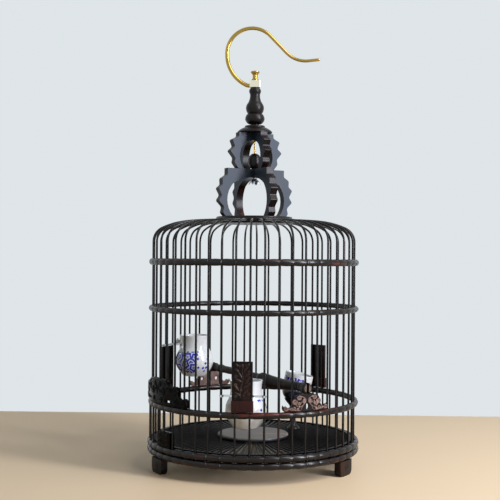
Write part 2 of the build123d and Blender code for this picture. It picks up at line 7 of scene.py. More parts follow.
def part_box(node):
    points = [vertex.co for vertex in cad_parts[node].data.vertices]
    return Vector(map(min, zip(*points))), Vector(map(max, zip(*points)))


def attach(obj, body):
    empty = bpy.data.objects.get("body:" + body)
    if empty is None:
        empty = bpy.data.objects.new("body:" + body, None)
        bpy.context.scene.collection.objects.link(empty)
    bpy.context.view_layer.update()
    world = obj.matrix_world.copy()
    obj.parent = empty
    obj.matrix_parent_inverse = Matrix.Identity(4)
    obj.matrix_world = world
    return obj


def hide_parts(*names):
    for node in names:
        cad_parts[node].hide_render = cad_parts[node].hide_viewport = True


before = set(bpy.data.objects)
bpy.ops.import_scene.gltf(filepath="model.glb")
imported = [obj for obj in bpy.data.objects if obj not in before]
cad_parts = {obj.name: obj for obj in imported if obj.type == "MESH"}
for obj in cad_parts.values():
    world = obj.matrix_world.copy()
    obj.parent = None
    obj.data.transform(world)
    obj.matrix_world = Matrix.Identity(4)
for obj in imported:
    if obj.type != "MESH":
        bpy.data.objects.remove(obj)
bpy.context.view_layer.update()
mm = 0.001

# Base rings: two rings of bamboo cane lie on each other and carry the whole wall. Each cane has a raised node at every
# bar. The lacquer is red-brown and glossy, and darker at the nodes.
bar_step = radians(7.5)
bar_count = 48
base_ring_inner, base_ring_outer, base_ring_height = 157.8 * mm, 167.75 * mm, 10.4 * mm
base_ring_lows = {"base_ring_lower": 22.6 * mm, "base_ring_upper": 33.0 * mm}
base_top = 43.4 * mm
ring_segments = 20
# shares of the way along an internode, and how full the cane is there
internode_shares = [
    (0, 0.97), (0.022, 0.97), (0.045, 0.86), (0.08, 0.885), (0.17, 0.935), (0.32, 0.985), (0.5, 1),
    (0.68, 0.985), (0.83, 0.935), (0.92, 0.885), (0.955, 0.86), (0.978, 0.97), (1, 0.97),
]


def linear(code):
    """An sRGB hex value as a linear colour."""
    parts = [int(code[place:place + 2], 16) / 255 for place in (1, 3, 5)]
    return (*[part / 12.92 if part <= 0.04045 else ((part + 0.055) / 1.055) ** 2.4 for part in parts], 1)


def add(tree, kind, inputs=(), **settings):
    """A node with its settings, and its inputs set to values or linked to sockets or to nodes' first outputs."""
    node = tree.nodes.new("ShaderNode" + kind)
    for name, value in settings.items():
        setattr(node, name, value)
    for name, value in dict(inputs).items():
        value = value.outputs[0] if isinstance(value, bpy.types.Node) else value
        if isinstance(value, bpy.types.NodeSocket):
            tree.links.new(value, node.inputs[name])
        else:
            node.inputs[name].default_value = value
    return node


def surface(name, values):
    """A material with the plain values of its shader, and the place its patterns are drawn from."""
    material = bpy.data.materials.new(name)
    material.use_nodes = True
    tree = material.node_tree
    shader = tree.nodes["Principled BSDF"]
    for socket, value in values.items():
        shader.inputs[socket].default_value = value
    return material, tree, shader, add(tree, "TexCoord").outputs["Object"]


def round_the_axis(tree, place, radius):
    """The way round the axis at a radius, the distance from the axis and the height, as one vector."""
    parts = add(tree, "SeparateXYZ", {0: place})
    back = add(tree, "Math", {0: parts.outputs[1], 1: -1}, operation="MULTIPLY")
    angle = add(tree, "Math", {0: parts, 1: back}, operation="ARCTAN2")
    around = add(tree, "Math", {0: angle, 1: radius}, operation="MULTIPLY")
    flat = add(tree, "VectorMath", {0: place, 1: (1, 1, 0)}, operation="MULTIPLY")
    away = add(tree, "VectorMath", {0: flat}, operation="LENGTH")
    joined = add(tree, "CombineXYZ", {0: around, 1: away.outputs["Value"], 2: parts.outputs[2]})
    return joined.outputs[0]


def lacquered_wood(name, colours, grain_mm, shine, relief=0.12, polar=None, nodes=False):
    """Wood or bamboo under lacquer: fine grain, broader shades, and gloss that the grain breaks up."""
    dark, light, warm = colours
    rough, level, coat = shine
    values = {"Specular IOR Level": level, "Coat Weight": coat, "Coat Roughness": 0.1}
    material, tree, shader, place = surface(name, values)
    if polar:
        place = round_the_axis(tree, place, polar)
    stretched = add(tree, "Mapping", {0: place, 3: [1 / (size * mm) for size in grain_mm]})
    grain = add(tree, "TexNoise", {"Vector": stretched, "Scale": 1, "Detail": 4, "Roughness": 0.6})
    broad = add(tree, "TexNoise", {"Vector": stretched, "Scale": 0.16, "Detail": 2, "Roughness": 0.5})
    base = add(tree, "ValToRGB", {0: grain})
    base.color_ramp.elements[0].position, base.color_ramp.elements[0].color = 0.34, linear(dark)
    base.color_ramp.elements[1].position, base.color_ramp.elements[1].color = 0.72, linear(light)
    patch = add(tree, "MapRange", {"Value": broad, "From Min": 0.59, "From Max": 0.7})
    toned = add(tree, "Mix", {0: patch, 6: base, 7: linear(warm)}, data_type="RGBA")
    colour = toned.outputs[2]
    if nodes:
        parts = add(tree, "SeparateXYZ", {0: place})
        turns = add(tree, "Math", {0: parts, 1: bar_step * polar}, operation="DIVIDE")
        near = add(tree, "Math", {0: turns, 1: 0.5}, operation="PINGPONG")
        line = add(tree, "MapRange", {"Value": near, "From Min": 0.022, "From Max": 0.06})
        darker_at_nodes = add(tree, "Mix", {0: line, 6: linear("#0c0708"), 7: colour}, data_type="RGBA")
        colour = darker_at_nodes.outputs[2]
    tree.links.new(colour, shader.inputs["Base Color"])
    gloss = add(tree, "MapRange", {"Value": grain, "To Min": rough - 0.05, "To Max": rough + 0.1})
    tree.links.new(gloss.outputs[0], shader.inputs["Roughness"])
    bump = add(tree, "Bump", {"Strength": relief, "Distance": 0.3 * mm, "Height": grain})
    tree.links.new(bump.outputs[0], shader.inputs["Normal"])
    return material


def placed(name, data):
    """An object in the scene that holds a mesh, a curve, a lamp or a camera."""
    thing = bpy.data.objects.new(name, data)
    bpy.context.scene.collection.objects.link(thing)
    return thing


def shaped(name, mesh_maker, material, sharp=35, second=None):
    """An object from a finished bmesh, smooth but for edges sharper than an angle."""
    mesh = bpy.data.meshes.new(name)
    bmesh.ops.recalc_face_normals(mesh_maker, faces=mesh_maker.faces)
    mesh_maker.to_mesh(mesh)
    mesh_maker.free()
    mesh.materials.append(material)
    if second:
        mesh.materials.append(second)
    mesh.shade_smooth()
    mesh.set_sharp_from_angle(angle=radians(sharp))
    return placed(name, mesh)


def only(items, kind=bmesh.types.BMVert):
    """The vertices, or else the edges, among what an operator gives back."""
    return [item for item in items if isinstance(item, kind)]


def cane_ring(inner, outer, low, height):
    """One internode of a ring of cane, spun from bar to bar, then repeated round the wall."""
    ring = bmesh.new()
    middle = Vector((0, -(inner + outer) / 2, low + height / 2))
    size = Matrix.Diagonal((height / 2, (outer - inner) / 2, 1, 1))
    place = Matrix.Translation(middle) @ Matrix.Rotation(pi / 2, 4, "Y") @ size
    bmesh.ops.create_circle(ring, segments=ring_segments, radius=1, matrix=place)
    edges = ring.edges[:]
    for (before, was), (share, full) in zip(internode_shares, internode_shares[1:]):
        angle = (share - before) * bar_step
        last = bmesh.ops.spin(ring, geom=edges, cent=(0, 0, 0), axis=(0, 0, 1), angle=angle, steps=1)["geom_last"]
        edges = only(last, bmesh.types.BMEdge)
        centre = Matrix.Rotation(share * bar_step, 4, "Z") @ middle
        bmesh.ops.scale(ring, vec=(full / was,) * 3, verts=only(last), space=Matrix.Translation(-centre))
    whole = ring.verts[:] + ring.edges[:] + ring.faces[:]
    repeats = bar_count - 1
    angle = repeats * bar_step
    bmesh.ops.spin(ring, geom=whole, cent=(0, 0, 0), axis=(0, 0, 1), angle=angle, steps=repeats, use_duplicate=True)
    bmesh.ops.remove_doubles(ring, verts=ring.verts, dist=0.01 * mm)
    return ring


cane = lacquered_wood(
    "glossy red-brown lacquer on bamboo cane", ("#090606", "#170d0c", "#541d13"), (18, 2.2, 1.6), (0.25, 0.3, 0.03),
    relief=0.15, polar=162 * mm, nodes=True,
)
for name, low in base_ring_lows.items():
    ring = cane_ring(base_ring_inner, base_ring_outer, low, base_ring_height)
    ring = shaped(name.replace("base_ring", "base_cane"), ring, cane)
    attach(ring, "cage")
    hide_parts(name)

# Hoops: three thinner rings of the same cane, drilled for the bars, hold them at their spacing.
# They are threaded over the bars before the top is closed, and have the same nodes and lacquer.
hoop_inner, hoop_outer = 157.6 * mm, 166.7 * mm
hoops = {
    "gate_hoop": (96.2 * mm, 9.6 * mm), "middle_hoop": (243.6 * mm, 8.7 * mm), "shoulder_hoop": (316 * mm, 10 * mm),
}
for name, (low, height) in hoops.items():
    ring = shaped(name.replace("hoop", "hoop_cane"), cane_ring(hoop_inner, hoop_outer, low, height), cane)
    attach(ring, "cage")
    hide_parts(name)

# Bars: 48 round splits of bamboo drawn through a die to one thickness, lacquered almost black.
# Each rises from the base ring, bends over the shoulder with heat and ends in the top plate.
bar_circle, bar_radius, bar_segments = 160 * mm, 1.65 * mm, 12
bar_low, short_bar_low = 35.4 * mm, 100.8 * mm
shoulder_height, shoulder_bend, shoulder_angle = 353 * mm, 24 * mm, radians(65)
crown_bend, crown_angle = 115 * mm, radians(23)
bar_end = 57 * mm
gate_bars = [-1, 0, -16, -15, 18, 19]
door_bars = list(range(-11, -4))


def stepped(maker, step, verts=None):
    """What a bmesh holds, or some of it, carried round the wall by a number of steps."""
    turn = Matrix.Rotation(step * bar_step, 3, "Z")
    bmesh.ops.rotate(maker, cent=(0, 0, 0), matrix=turn, verts=verts or maker.verts[:])
    return maker


def carried(maker, steps):
    """Copies of what a bmesh holds at the front, one at each step of the wall."""
    first = maker.verts[:] + maker.edges[:] + maker.faces[:]
    for step in steps:
        stepped(maker, step, only(bmesh.ops.duplicate(maker, geom=first)["geom"]))
    bmesh.ops.delete(maker, geom=only(first), context="VERTS")
    return maker


def drawn_out(maker, edges, move):
    """The end of a rod drawn out along a straight line. Returns its new end."""
    longer = bmesh.ops.extrude_edge_only(maker, edges=edges)["geom"]
    bmesh.ops.translate(maker, vec=move, verts=only(longer))
    return [edge for edge in only(longer, bmesh.types.BMEdge) if edge.is_boundary]


def bent(maker, edges, centre, axis, angle, steps):
    """The end of a rod carried round a bend. Returns its new end."""
    last = bmesh.ops.spin(maker, geom=edges, cent=centre, axis=axis, angle=angle, steps=steps)["geom_last"]
    return only(last, bmesh.types.BMEdge)


def closed(maker):
    """Caps over the open ends of what a bmesh holds."""
    bmesh.ops.holes_fill(maker, edges=[edge for edge in maker.edges if edge.is_boundary])
    return maker


def bars_at(low, steps):
    """Bars from their lower seat over the shoulder into the top plate."""
    bars = bmesh.new()
    seat = Matrix.Translation((0, -bar_circle, low))
    bmesh.ops.create_circle(bars, segments=bar_segments, radius=bar_radius, matrix=seat)
    end = drawn_out(bars, bars.edges[:], (0, 0, shoulder_height - low))
    centre = Vector((0, -bar_circle + shoulder_bend, shoulder_height))
    end = bent(bars, end, centre, (1, 0, 0), -shoulder_angle, 9)
    heading = Vector((0, sin(shoulder_angle), cos(shoulder_angle)))
    inward = Vector((0, cos(shoulder_angle), -sin(shoulder_angle)))
    start = centre - inward * shoulder_bend
    centre = start + inward * crown_bend
    end = bent(bars, end, centre, (1, 0, 0), -crown_angle, 6)
    turn = Matrix.Rotation(-crown_angle, 3, "X")
    start, heading = centre + turn @ (start - centre), turn @ heading
    drawn_out(bars, end, heading * ((-bar_end - start.y) / heading.y))
    return carried(closed(bars), steps)


split_bamboo = lacquered_wood(
    "near-black satin lacquer on split bamboo", ("#070505", "#100a0a", "#2a1512"), (0.9, 0.9, 60), (0.22, 0.27, 0),
    relief=0.15,
)
open_steps = {step % bar_count for step in gate_bars + door_bars}
side_bars = bar_count // 4
for quarter, side in enumerate(("front", "right", "rear", "left")):
    there = [step for step in range(bar_count) if (step + side_bars // 2) % bar_count // side_bars == quarter]
    steps = [step for step in there if step not in open_steps]
    bars = shaped(f"{side}_bars", bars_at(bar_low, steps), split_bamboo)
    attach(bars, "cage")
    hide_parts(f"bars_{side}")
for name, steps in {"over_gates": gate_bars, "over_door": door_bars}.items():
    bars = shaped(f"short_bars_{name}", bars_at(short_bar_low, steps), split_bamboo)
    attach(bars, "cage")
    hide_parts(f"bars_{name}")

# Feet: three blocks of hardwood sawn to a rounded outline and hollowed to the curve of the ring,
# with one carved curl on the face. They are pegged and glued under the lower ring.
foot_steps = {"foot_left": -8, "foot_right": 8, "foot_rear": 24}
foot_half, foot_height, foot_depth, foot_outer = 17.5 * mm, 22.6 * mm, 10.8 * mm, 167 * mm
foot_shares = [[(0.54, 0)], [(0.88, 0.12), (1, 0.42)], [(1, 1)], [(0, 1)]]
arc_chords, scroll_sunk = 8, 0.7 * mm


def drawn(steps, reach, height, chords=arc_chords):
    """An outline of shares and its mirror image: one pair draws a line, two pairs an arc through the first."""
    line = []
    for step in steps:
        spots = [(reach * across, height * up) for across, up in step]
        if len(spots) > 1:
            (ax, ay), (bx, by), (cx, cy) = line[-1], *spots
            turn = 2 * (ax * (by - cy) + bx * (cy - ay) + cx * (ay - by))
            a, b, c = ax * ax + ay * ay, bx * bx + by * by, cx * cx + cy * cy
            across = (a * (by - cy) + b * (cy - ay) + c * (ay - by)) / turn
            up = (a * (cx - bx) + b * (ax - cx) + c * (bx - ax)) / turn
            middle = Vector((across, up))
            start, end = Vector(line[-1]) - middle, Vector(spots[-1]) - middle
            angle = start.angle_signed(end)
            line += [tuple(middle + Matrix.Rotation(-angle * chord / chords, 2) @ start) for chord in range(1, chords)]
        line.append(spots[-1])
    return line + [(-across, up) for across, up in reversed(line) if across > 0]


def softened(maker, edges, size, rounds, **more):
    """Edges of a bmesh rounded off over a size."""
    bmesh.ops.bevel(maker, geom=edges, offset=size, segments=rounds, profile=0.5, affect="EDGES", material=-1, **more)


def sawn(outlines, depth, edge, rounds=3):
    """A board sawn to an outline, with holes, from the XZ plane towards the front, and its edges rounded."""
    board = bmesh.new()
    for outline in outlines:
        corners = [board.verts.new((across, 0, up)) for across, up in outline]
        for pair in zip(corners, corners[1:] + corners[:1]):
            board.edges.new(pair)
    bmesh.ops.triangle_fill(board, use_beauty=True, edges=board.edges[:])
    front = bmesh.ops.extrude_face_region(board, geom=board.faces[:])["geom"]
    bmesh.ops.translate(board, vec=(0, -depth, 0), verts=only(front))
    bmesh.ops.recalc_face_normals(board, faces=board.faces[:])
    sharp = [side for side in board.edges if side.calc_face_angle(0) > 0.8]
    rim = [side for side in sharp if abs(side.verts[0].co.y - side.verts[1].co.y) < depth / 2]
    softened(board, rim, edge, rounds, clamp_overlap=True)
    return board


def curved(board, inner, every=5 * mm):
    """A flat board bent to the wall, its back at a distance from the axis."""
    reach = max(abs(vert.co.x) for vert in board.verts)
    cuts = int(reach / every)
    for place in range(-cuts, cuts + 1):
        whole = board.verts[:] + board.edges[:] + board.faces[:]
        bmesh.ops.bisect_plane(board, geom=whole, dist=1e-7, plane_co=(place * every, 0, 0), plane_no=(1, 0, 0))
    for vert in board.verts:
        away = inner - vert.co.y
        vert.co = Vector((away * sin(vert.co.x / inner), -away * cos(vert.co.x / inner), vert.co.z))
    return board


def curl(centre, size, turns, start, hand, tail=()):
    """The middle line of a carved curl, from its eye outwards, and on along a tail."""
    spots = []
    steps = int(10 * turns)
    for step in range(steps + 1):
        share = step / steps
        angle = start + hand * 2 * pi * turns * (share - 1)
        reach = size * (0.16 + 0.84 * share)
        spots.append((centre[0] + reach * cos(angle), centre[1] + reach * sin(angle)))
    return spots + list(tail)


def carving(maker, strokes, depth, thick):
    """Raised strokes with round backs, thinner towards both ends, lying on the face of a flat board."""
    line = bpy.data.curves.new("stroke", "CURVE")
    line.dimensions, line.use_fill_caps = "3D", True
    line.bevel_depth, line.bevel_resolution, line.resolution_u = thick, 2, 4
    for stroke in strokes:
        spline = line.splines.new("NURBS")
        spline.points.add(len(stroke) - 1)
        for place, (point, (across, up)) in enumerate(zip(spline.points, stroke)):
            point.co = (across, -depth, up, 1)
            share = place / (len(stroke) - 1)
            point.radius = 0.45 + 0.55 * sin(pi * min(1, 0.12 + 0.9 * share)) ** 0.6
        spline.order_u, spline.use_endpoint_u = 4, True
    thing = placed("stroke", line)
    bpy.context.view_layer.update()
    mesh = bpy.data.meshes.new_from_object(thing)
    maker.from_mesh(mesh)
    bpy.data.objects.remove(thing)
    bpy.data.meshes.remove(mesh)


carved_hardwood = lacquered_wood(
    "dark waxed carved hardwood", ("#0a0605", "#1a0f0c", "#2c1913"), (4, 4, 14), (0.34, 0.15, 0), relief=0.3
)
for name, step in foot_steps.items():
    foot = sawn([drawn(foot_shares, foot_half, foot_height)], foot_depth, 1.2 * mm)
    scroll = curl((0, 12.2 * mm), 7.5 * mm, 1.6, radians(200), 1, [(10 * mm, 17 * mm), (14 * mm, 20 * mm)])
    carving(foot, [scroll], foot_depth - scroll_sunk, 1.3 * mm)
    foot = stepped(curved(foot, foot_outer - foot_depth), step)
    foot = shaped(name.replace("foot", "carved_foot"), foot, carved_hardwood, 50)
    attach(foot, "cage")
    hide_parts(name)

# Floor: a turned rim with a ledge, half-round splits of bamboo laid like spokes on the ledge, and a
# thin round board over their inner ends. The board is left unlacquered and has greyed with use.
rim_profile = [
    (148.3, 37.2), (148.3, 41.0), (148.5, 41.2), (152.6, 41.2), (152.8, 41.4), (152.8, 44.0), (153.3, 44.5),
    (157.0, 44.5), (157.6, 44.0), (157.6, 37.2), (148.3, 37.2),
]
board_profile = [
    (0, 43.4), (54.5, 43.4), (54.5, 43.4), (56.4, 43.6), (56.5, 45.5), (56.2, 47.6), (54.8, 48.6), (54.8, 48.6),
    (0, 48.6),
]


def eased(points, rounds=2):
    """A line with its corners cut round. A point given twice stays a corner."""
    for _ in range(rounds):
        pairs = [(*pair, share) for pair in zip(points, points[1:]) for share in (0.25, 0.75)]
        cuts = [tuple(a + (b - a) * share for a, b in zip(start, end)) for start, end, share in pairs]
        points = [points[0], *cuts, points[-1]]
    apart = [True, *[hypot(b[0] - a[0], b[1] - a[1]) > 1e-4 for a, b in zip(points, points[1:])]]
    return [point for point, kept in zip(points, apart) if kept]


def turned(profile, segments=72, scale=mm):
    """A turned piece: a line of radius and height in millimetres, spun about the axis."""
    piece = bmesh.new()
    spots = [piece.verts.new((away * scale, 0, up * scale)) for away, up in profile]
    sides = [piece.edges.new(pair) for pair in zip(spots, spots[1:])]
    line = spots + sides
    bmesh.ops.spin(piece, geom=line, cent=(0, 0, 0), axis=(0, 0, 1), angle=2 * pi, steps=segments, use_merge=True)
    bmesh.ops.remove_doubles(piece, verts=piece.verts, dist=1e-6)
    return closed(piece)


slat_bamboo = lacquered_wood(
    "satin black lacquer on flat bamboo slats", ("#050404", "#0d0a0a", "#171010"), (20, 20, 20), (0.28, 0.03, 0),
    relief=0.15,
)
rim = shaped("turned_floor_rim", turned(rim_profile, 192), slat_bamboo, 30)
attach(rim, "cage")
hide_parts("floor_rim")
slat_inner, slat_outer, slat_low, slat_high = 48 * mm, 151.3 * mm, 41.2 * mm, 43.4 * mm
split_width, split_spread, splits_per_bar = 2.3 * mm, 2.4, 2
split_round = [
    (-0.5, 0), (-0.48, 0.4), (-0.4, 0.7), (-0.22, 0.94), (0, 1), (0.22, 0.94), (0.4, 0.7), (0.48, 0.4), (0.5, 0),
]
slats = bmesh.new()
split_end = [(split_width * across, -slat_inner, slat_low + (slat_high - slat_low) * up) for across, up in split_round]
corners = [slats.verts.new(corner) for corner in split_end]
outer_end = only(bmesh.ops.extrude_face_region(slats, geom=[slats.faces.new(corners)])["geom"])
bmesh.ops.translate(slats, vec=(0, slat_inner - slat_outer, 0), verts=outer_end)
bmesh.ops.scale(slats, vec=(split_spread, 1, 1), verts=outer_end)
carried(slats, [(split + 0.5) / splits_per_bar for split in range(bar_count * splits_per_bar)])
slats = shaped("half_round_slats", slats, slat_bamboo, 50)
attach(slats, "cage")
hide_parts("floor_slats")
greyed_board = lacquered_wood(
    "greyed unlacquered board, scuffed smooth", ("#554e48", "#766e67", "#857a70"), (60, 2.5, 60), (0.45, 0.4, 0),
    relief=0.3,
)
# The board's lower rim is dark lacquer with a blue tint that is a painted reflection.
board_rim_painted_sheen = lacquered_wood(
    "blue-black lacquer on the board's rim", ("#10151a", "#26323c", "#2c3a44"), (20, 20, 20), (0.3, 0.4, 0.1),
    relief=0.1,
)
board = turned(eased(board_profile), 144)
# the lower faces of the board take the rim material with its painted reflection
for face in board.faces:
    face.material_index = int(face.calc_center_median().z < 47 * mm)
board = shaped("round_floor_board", board, greyed_board, 50, board_rim_painted_sheen)
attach(board, "cage")
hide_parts("floor_board")

# Top plate: a turned disc of dark rosewood. The bars end in holes bored into its rim.
plate_profile = [
    (0, 382.05), (60.2, 382.05), (60.2, 382.05), (61.6, 382.6), (62.9, 384.8), (63.0, 387.5), (62.9, 389.2),
    (61.8, 390.6), (60.9, 390.9), (60.6, 391.2), (60.4, 392.5), (59.6, 393.05), (59.6, 393.05), (0, 393.05),
]
rosewood = lacquered_wood(
    "polished dark rosewood", ("#0b0707", "#1c100f", "#35191a"), (14, 14, 60), (0.33, 0.25, 0), relief=0.06
)
plate = shaped("turned_top_plate", turned(eased(plate_profile), 160), rosewood, 50)
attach(plate, "cage")
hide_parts("top_plate")

# Crown: two tiers, each of two toothed and arched boards that cross. Each pair is halved together
# in its beam and stands loose on the one below, held by the shank. The edges are barely rounded.
crown_turn, crown_thick, tooth_round = radians(30), 12 * mm, 2.6 * mm
board_round, halving_wide, halving_deep, overrun = 0.8 * mm, 12.2 * mm, 14 * mm, 5 * mm
crown_tiers = {
    "lower": (
        66.5 * mm, 76 * mm, 393.05 * mm, 0.82,
        [(0.81, 0), (0.885, 0.07), (0.85, 0.19), (0.995, 0.32), (0.91, 0.43), (1, 0.575), (0.895, 0.65), (0.905, 0.78),
         (0.765, 0.855), (0.765, 1)],
        [[(0.61, 0)], [(0.77, 0.37), (0.62, 0.68)], [(0.36, 0.79), (0, 0.82)]],
    ),
    "upper": (
        46.5 * mm, 57.5 * mm, 469.05 * mm, 0.80,
        [(0.69, 0), (0.84, 0.16), (0.80, 0.285), (1, 0.475), (0.82, 0.60), (0.92, 0.78), (0.665, 0.88), (0.665, 1)],
        [[(0.48, 0)], [(0.63, 0.40), (0.48, 0.68)], [(0.28, 0.77), (0, 0.80)]],
    ),
}


def shifted(maker, move):
    """What a bmesh holds, moved."""
    bmesh.ops.translate(maker, vec=move, verts=maker.verts)
    return maker


def cuboid(maker, size, place):
    """A cuboid about the middle of a place."""
    bmesh.ops.create_cube(maker, size=1, matrix=place @ Matrix.Diagonal((*size, 1)))


def rounded(points, size):
    """A line whose inner corners are rounded off over a size."""
    line = [points[0]]
    for before, corner, after in zip(points, points[1:], points[2:]):
        corner = Vector(corner)
        into, out = Vector(before) - corner, Vector(after) - corner
        start = corner + into.normalized() * min(size, into.length / 2.2)
        stop = corner + out.normalized() * min(size, out.length / 2.2)
        line += [tuple(start.lerp(corner, part / 4).lerp(corner.lerp(stop, part / 4), part / 4)) for part in range(5)]
    return [*line, points[-1]]


def cut(thing, tool):
    """What a tool shape cuts out of a piece."""
    mesh = bpy.data.meshes.new("tool")
    bmesh.ops.recalc_face_normals(tool, faces=tool.faces)
    tool.to_mesh(mesh)
    tool.free()
    cutter = placed("tool", mesh)
    step = thing.modifiers.new("cut", "BOOLEAN")
    step.operation, step.solver, step.object = "DIFFERENCE", "EXACT", cutter
    bpy.context.view_layer.update()
    finished = bpy.data.meshes.new_from_object(thing.evaluated_get(bpy.context.evaluated_depsgraph_get()))
    thing.modifiers.clear()
    thing.data = finished
    bpy.data.objects.remove(cutter)
    return thing


# The flat faces of the crown boards are painted blue-grey: a painted reflection of the window light on the dark wood.
crown_face_painted_reflection = lacquered_wood(
    "dark wood with a painted blue-grey reflection on sawn faces", ("#252d37", "#333e4c", "#3b3a46"), (14, 14, 60), (0.45, 0.28, 0),
    relief=0.03,
)
crown_edge = lacquered_wood(
    "dark polished rosewood, red where worn", ("#0a0606", "#1e0e0c", "#54200f"), (9, 9, 18), (0.3, 0.14, 0.02),
    relief=0.03,
)
for tier, (reach, height, low, beam, shares, arch) in crown_tiers.items():
    for letter, turn, on_top in (("a", crown_turn - pi / 2, True), ("b", crown_turn, False)):
        right = rounded([(reach * across, height * up) for across, up in shares], tooth_round)
        outside = right + [(-across, up) for across, up in reversed(right)]
        board = sawn([outside + list(reversed(drawn(arch, reach, height)))], crown_thick, board_round, 2)
        # the flat front and back faces take the painted reflection, the sawn edges the dark rosewood
        for face in board.faces:
            face.material_index = int(abs(face.normal.y) > 0.9)
        shifted(board, (0, crown_thick / 2, low))
        bmesh.ops.rotate(board, cent=(0, 0, 0), matrix=Matrix.Rotation(turn, 3, "Z"), verts=board.verts)
        board = shaped(f"{tier}_crown_board_{letter}", board, crown_edge, 20, crown_face_painted_reflection)
        middle = low + height * (1 + beam) / 2
        slot = bmesh.new()
        slot_low, slot_high = (middle, low + height + overrun) if on_top else (low + beam * height - overrun, middle)
        place = Matrix.Translation((0, 0, (slot_low + slot_high) / 2)) @ Matrix.Rotation(turn, 4, "Z")
        cuboid(slot, (halving_wide, halving_deep, slot_high - slot_low), place)
        cut(board, slot)
        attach(board, "cage")
        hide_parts(f"{tier}_tier_board_{letter}")

# Cap, gourd and bead: turned from the same rosewood, bored and threaded on the shank. The cap and
# the gourd close the crown from above, and the bead hangs free inside the upper tier.
turned_crown = {
    "crown_cap": (526.55, [
        (0, 0), (26.0, 0), (26.0, 0), (27.9, 0.6), (28.0, 1.9), (26.9, 3.4), (23.4, 6.2), (18.6, 8.7), (16.4, 9.4),
        (16.4, 9.4), (16.0, 10.2), (16.2, 11.6), (15.2, 12), (15.2, 12), (0, 12),
    ]),
    "gourd": (538.55, [
        (0, 0), (6.3, 0), (6.3, 0), (6.6, 2.2), (6.6, 2.2), (11.6, 3.4), (15.2, 8.2), (15.7, 12.4), (13.9, 17.2),
        (11.3, 19.7), (11.3, 19.7), (13.4, 22.6), (14.7, 28.2), (13.6, 33.4), (9.6, 39.2), (8.0, 46.0), (7.9, 50.6),
        (9.3, 53.4), (9.7, 56.0), (8.8, 58.6), (7.2, 60.5), (7.2, 60.5), (0, 60.5),
    ]),
    "crown_bead": (469.25, [
        (0, 0), (3.2, 0), (3.2, 0), (7.4, 2.2), (10.2, 7.4), (10.6, 12.5), (10.2, 17.6), (7.4, 22.8), (3.2, 25),
        (3.2, 25), (0, 25),
    ]),
}
for name, (low, profile) in turned_crown.items():
    piece = shifted(turned(eased(profile), 64), (0, 0, low * mm))
    piece = shaped("turned_" + name, piece, rosewood, 40)
    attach(piece, "cage")
    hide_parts(name)

# Petal washer: four petals stamped from thin steel and bent down, under the lower crown beam.
petal_count, petal_length, petal_half, petal_sheet = 4, 10.5 * mm, 3.6 * mm, 0.8 * mm
washer_top, washer_radius, washer_thick = 455.17 * mm, 3.4 * mm, 1.6 * mm


def pin(maker, radius, depth, place, segments):
    """A plain round pin about the middle of a place."""
    bmesh.ops.create_cone(
        maker, cap_ends=True, segments=segments, radius1=radius, radius2=radius, depth=depth, matrix=place
    )


def merged(maker, other):
    """A bmesh taken into another one and freed."""
    sheet = bpy.data.meshes.new("sheet")
    other.to_mesh(sheet)
    other.free()
    maker.from_mesh(sheet)
    bpy.data.meshes.remove(sheet)


washer = bmesh.new()
pin(washer, washer_radius, washer_thick, Matrix.Translation((0, 0, washer_top - washer_thick / 2)), 32)
for place in range(petal_count):
    petal = bmesh.new()
    bmesh.ops.create_grid(petal, x_segments=8, y_segments=12, size=0.5)
    for vert in petal.verts:
        across, along = 2 * vert.co.x, vert.co.y + 0.5
        near, far = 0.42 + 0.58 * sin(pi * min(1, along * 1.15)), max(0.05, cos((along - 0.5) * pi)) ** 0.6
        wide = near if along < 0.55 else far
        droop = petal_length * (0.25 * along + 0.62 * along * along) + 1.1 * mm * across * across * along
        vert.co = Vector((across * petal_half * wide, -petal_length * along * 0.92, washer_top - droop))
    bmesh.ops.solidify(petal, geom=petal.faces[:], thickness=petal_sheet)
    turn = Matrix.Rotation(crown_turn + (place + 0.5) * pi / 2, 3, "Z")
    bmesh.ops.rotate(petal, cent=(0, 0, 0), matrix=turn, verts=petal.verts)
    merged(washer, petal)


def metal(name, colour, rough, wear_mm, relief=0.05):
    """Bare metal with fine wear: small scratches that roughen the polish here and there."""
    material, tree, shader, place = surface(name, {"Base Color": linear(colour), "Metallic": 1})
    fine = add(tree, "Mapping", {0: place, 3: (1 / (wear_mm * mm), 1 / (wear_mm * mm), 1 / (4 * wear_mm * mm))})
    wear = add(tree, "TexNoise", {"Vector": fine, "Scale": 1, "Detail": 5, "Roughness": 0.65})
    ramp = {"From Min": 0.3, "From Max": 0.7, "To Min": rough * 0.7, "To Max": rough * 1.5}
    gloss = add(tree, "MapRange", {"Value": wear, **ramp})
    tree.links.new(gloss.outputs[0], shader.inputs["Roughness"])
    bump = add(tree, "Bump", {"Strength": relief, "Distance": 0.1 * mm, "Height": wear})
    tree.links.new(bump.outputs[0], shader.inputs["Normal"])
    return material


steel = metal("stamped steel, dulled", "#a4aab2", 0.32, 1.5)
washer = shaped("leaf_washer", washer, steel, 40)
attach(washer, "cage")
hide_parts("petal_washer")

# Shank, nut and knob: a brass rod runs down through the finial and the crown, with a nut under the
# washer and a turned knob screwed on top. The knob keeps the swivel block on.
shank_radius, thread_pitch = 1.3 * mm, 0.9 * mm
brass = metal("polished brass", "#b09048", 0.15, 3, 0.02)
low, high = [corner.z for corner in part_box("shank")]
shank_profile = [(0, low)]
for turn in range(int((high - low) / thread_pitch)):
    up = low + turn * thread_pitch
    shank_profile += [(shank_radius * 0.9, up), (shank_radius, up + thread_pitch * 0.5)]
shank = shaped("threaded_shank", turned([*shank_profile, (0, high)], 16, 1), brass, 60)
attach(shank, "cage")
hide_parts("shank")
nut_radius = 2.6 * mm
nut = bmesh.new()
low, high = [corner.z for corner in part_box("shank_nut")]
pin(nut, nut_radius, high - low, Matrix.Translation((0, 0, (low + high) / 2)), 6)
softened(nut, nut.edges[:], 0.25 * mm, 2)
nut = shaped("hexagon_nut", nut, brass, 30)
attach(nut, "cage")
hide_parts("shank_nut")
knob_low = 611.65 * mm
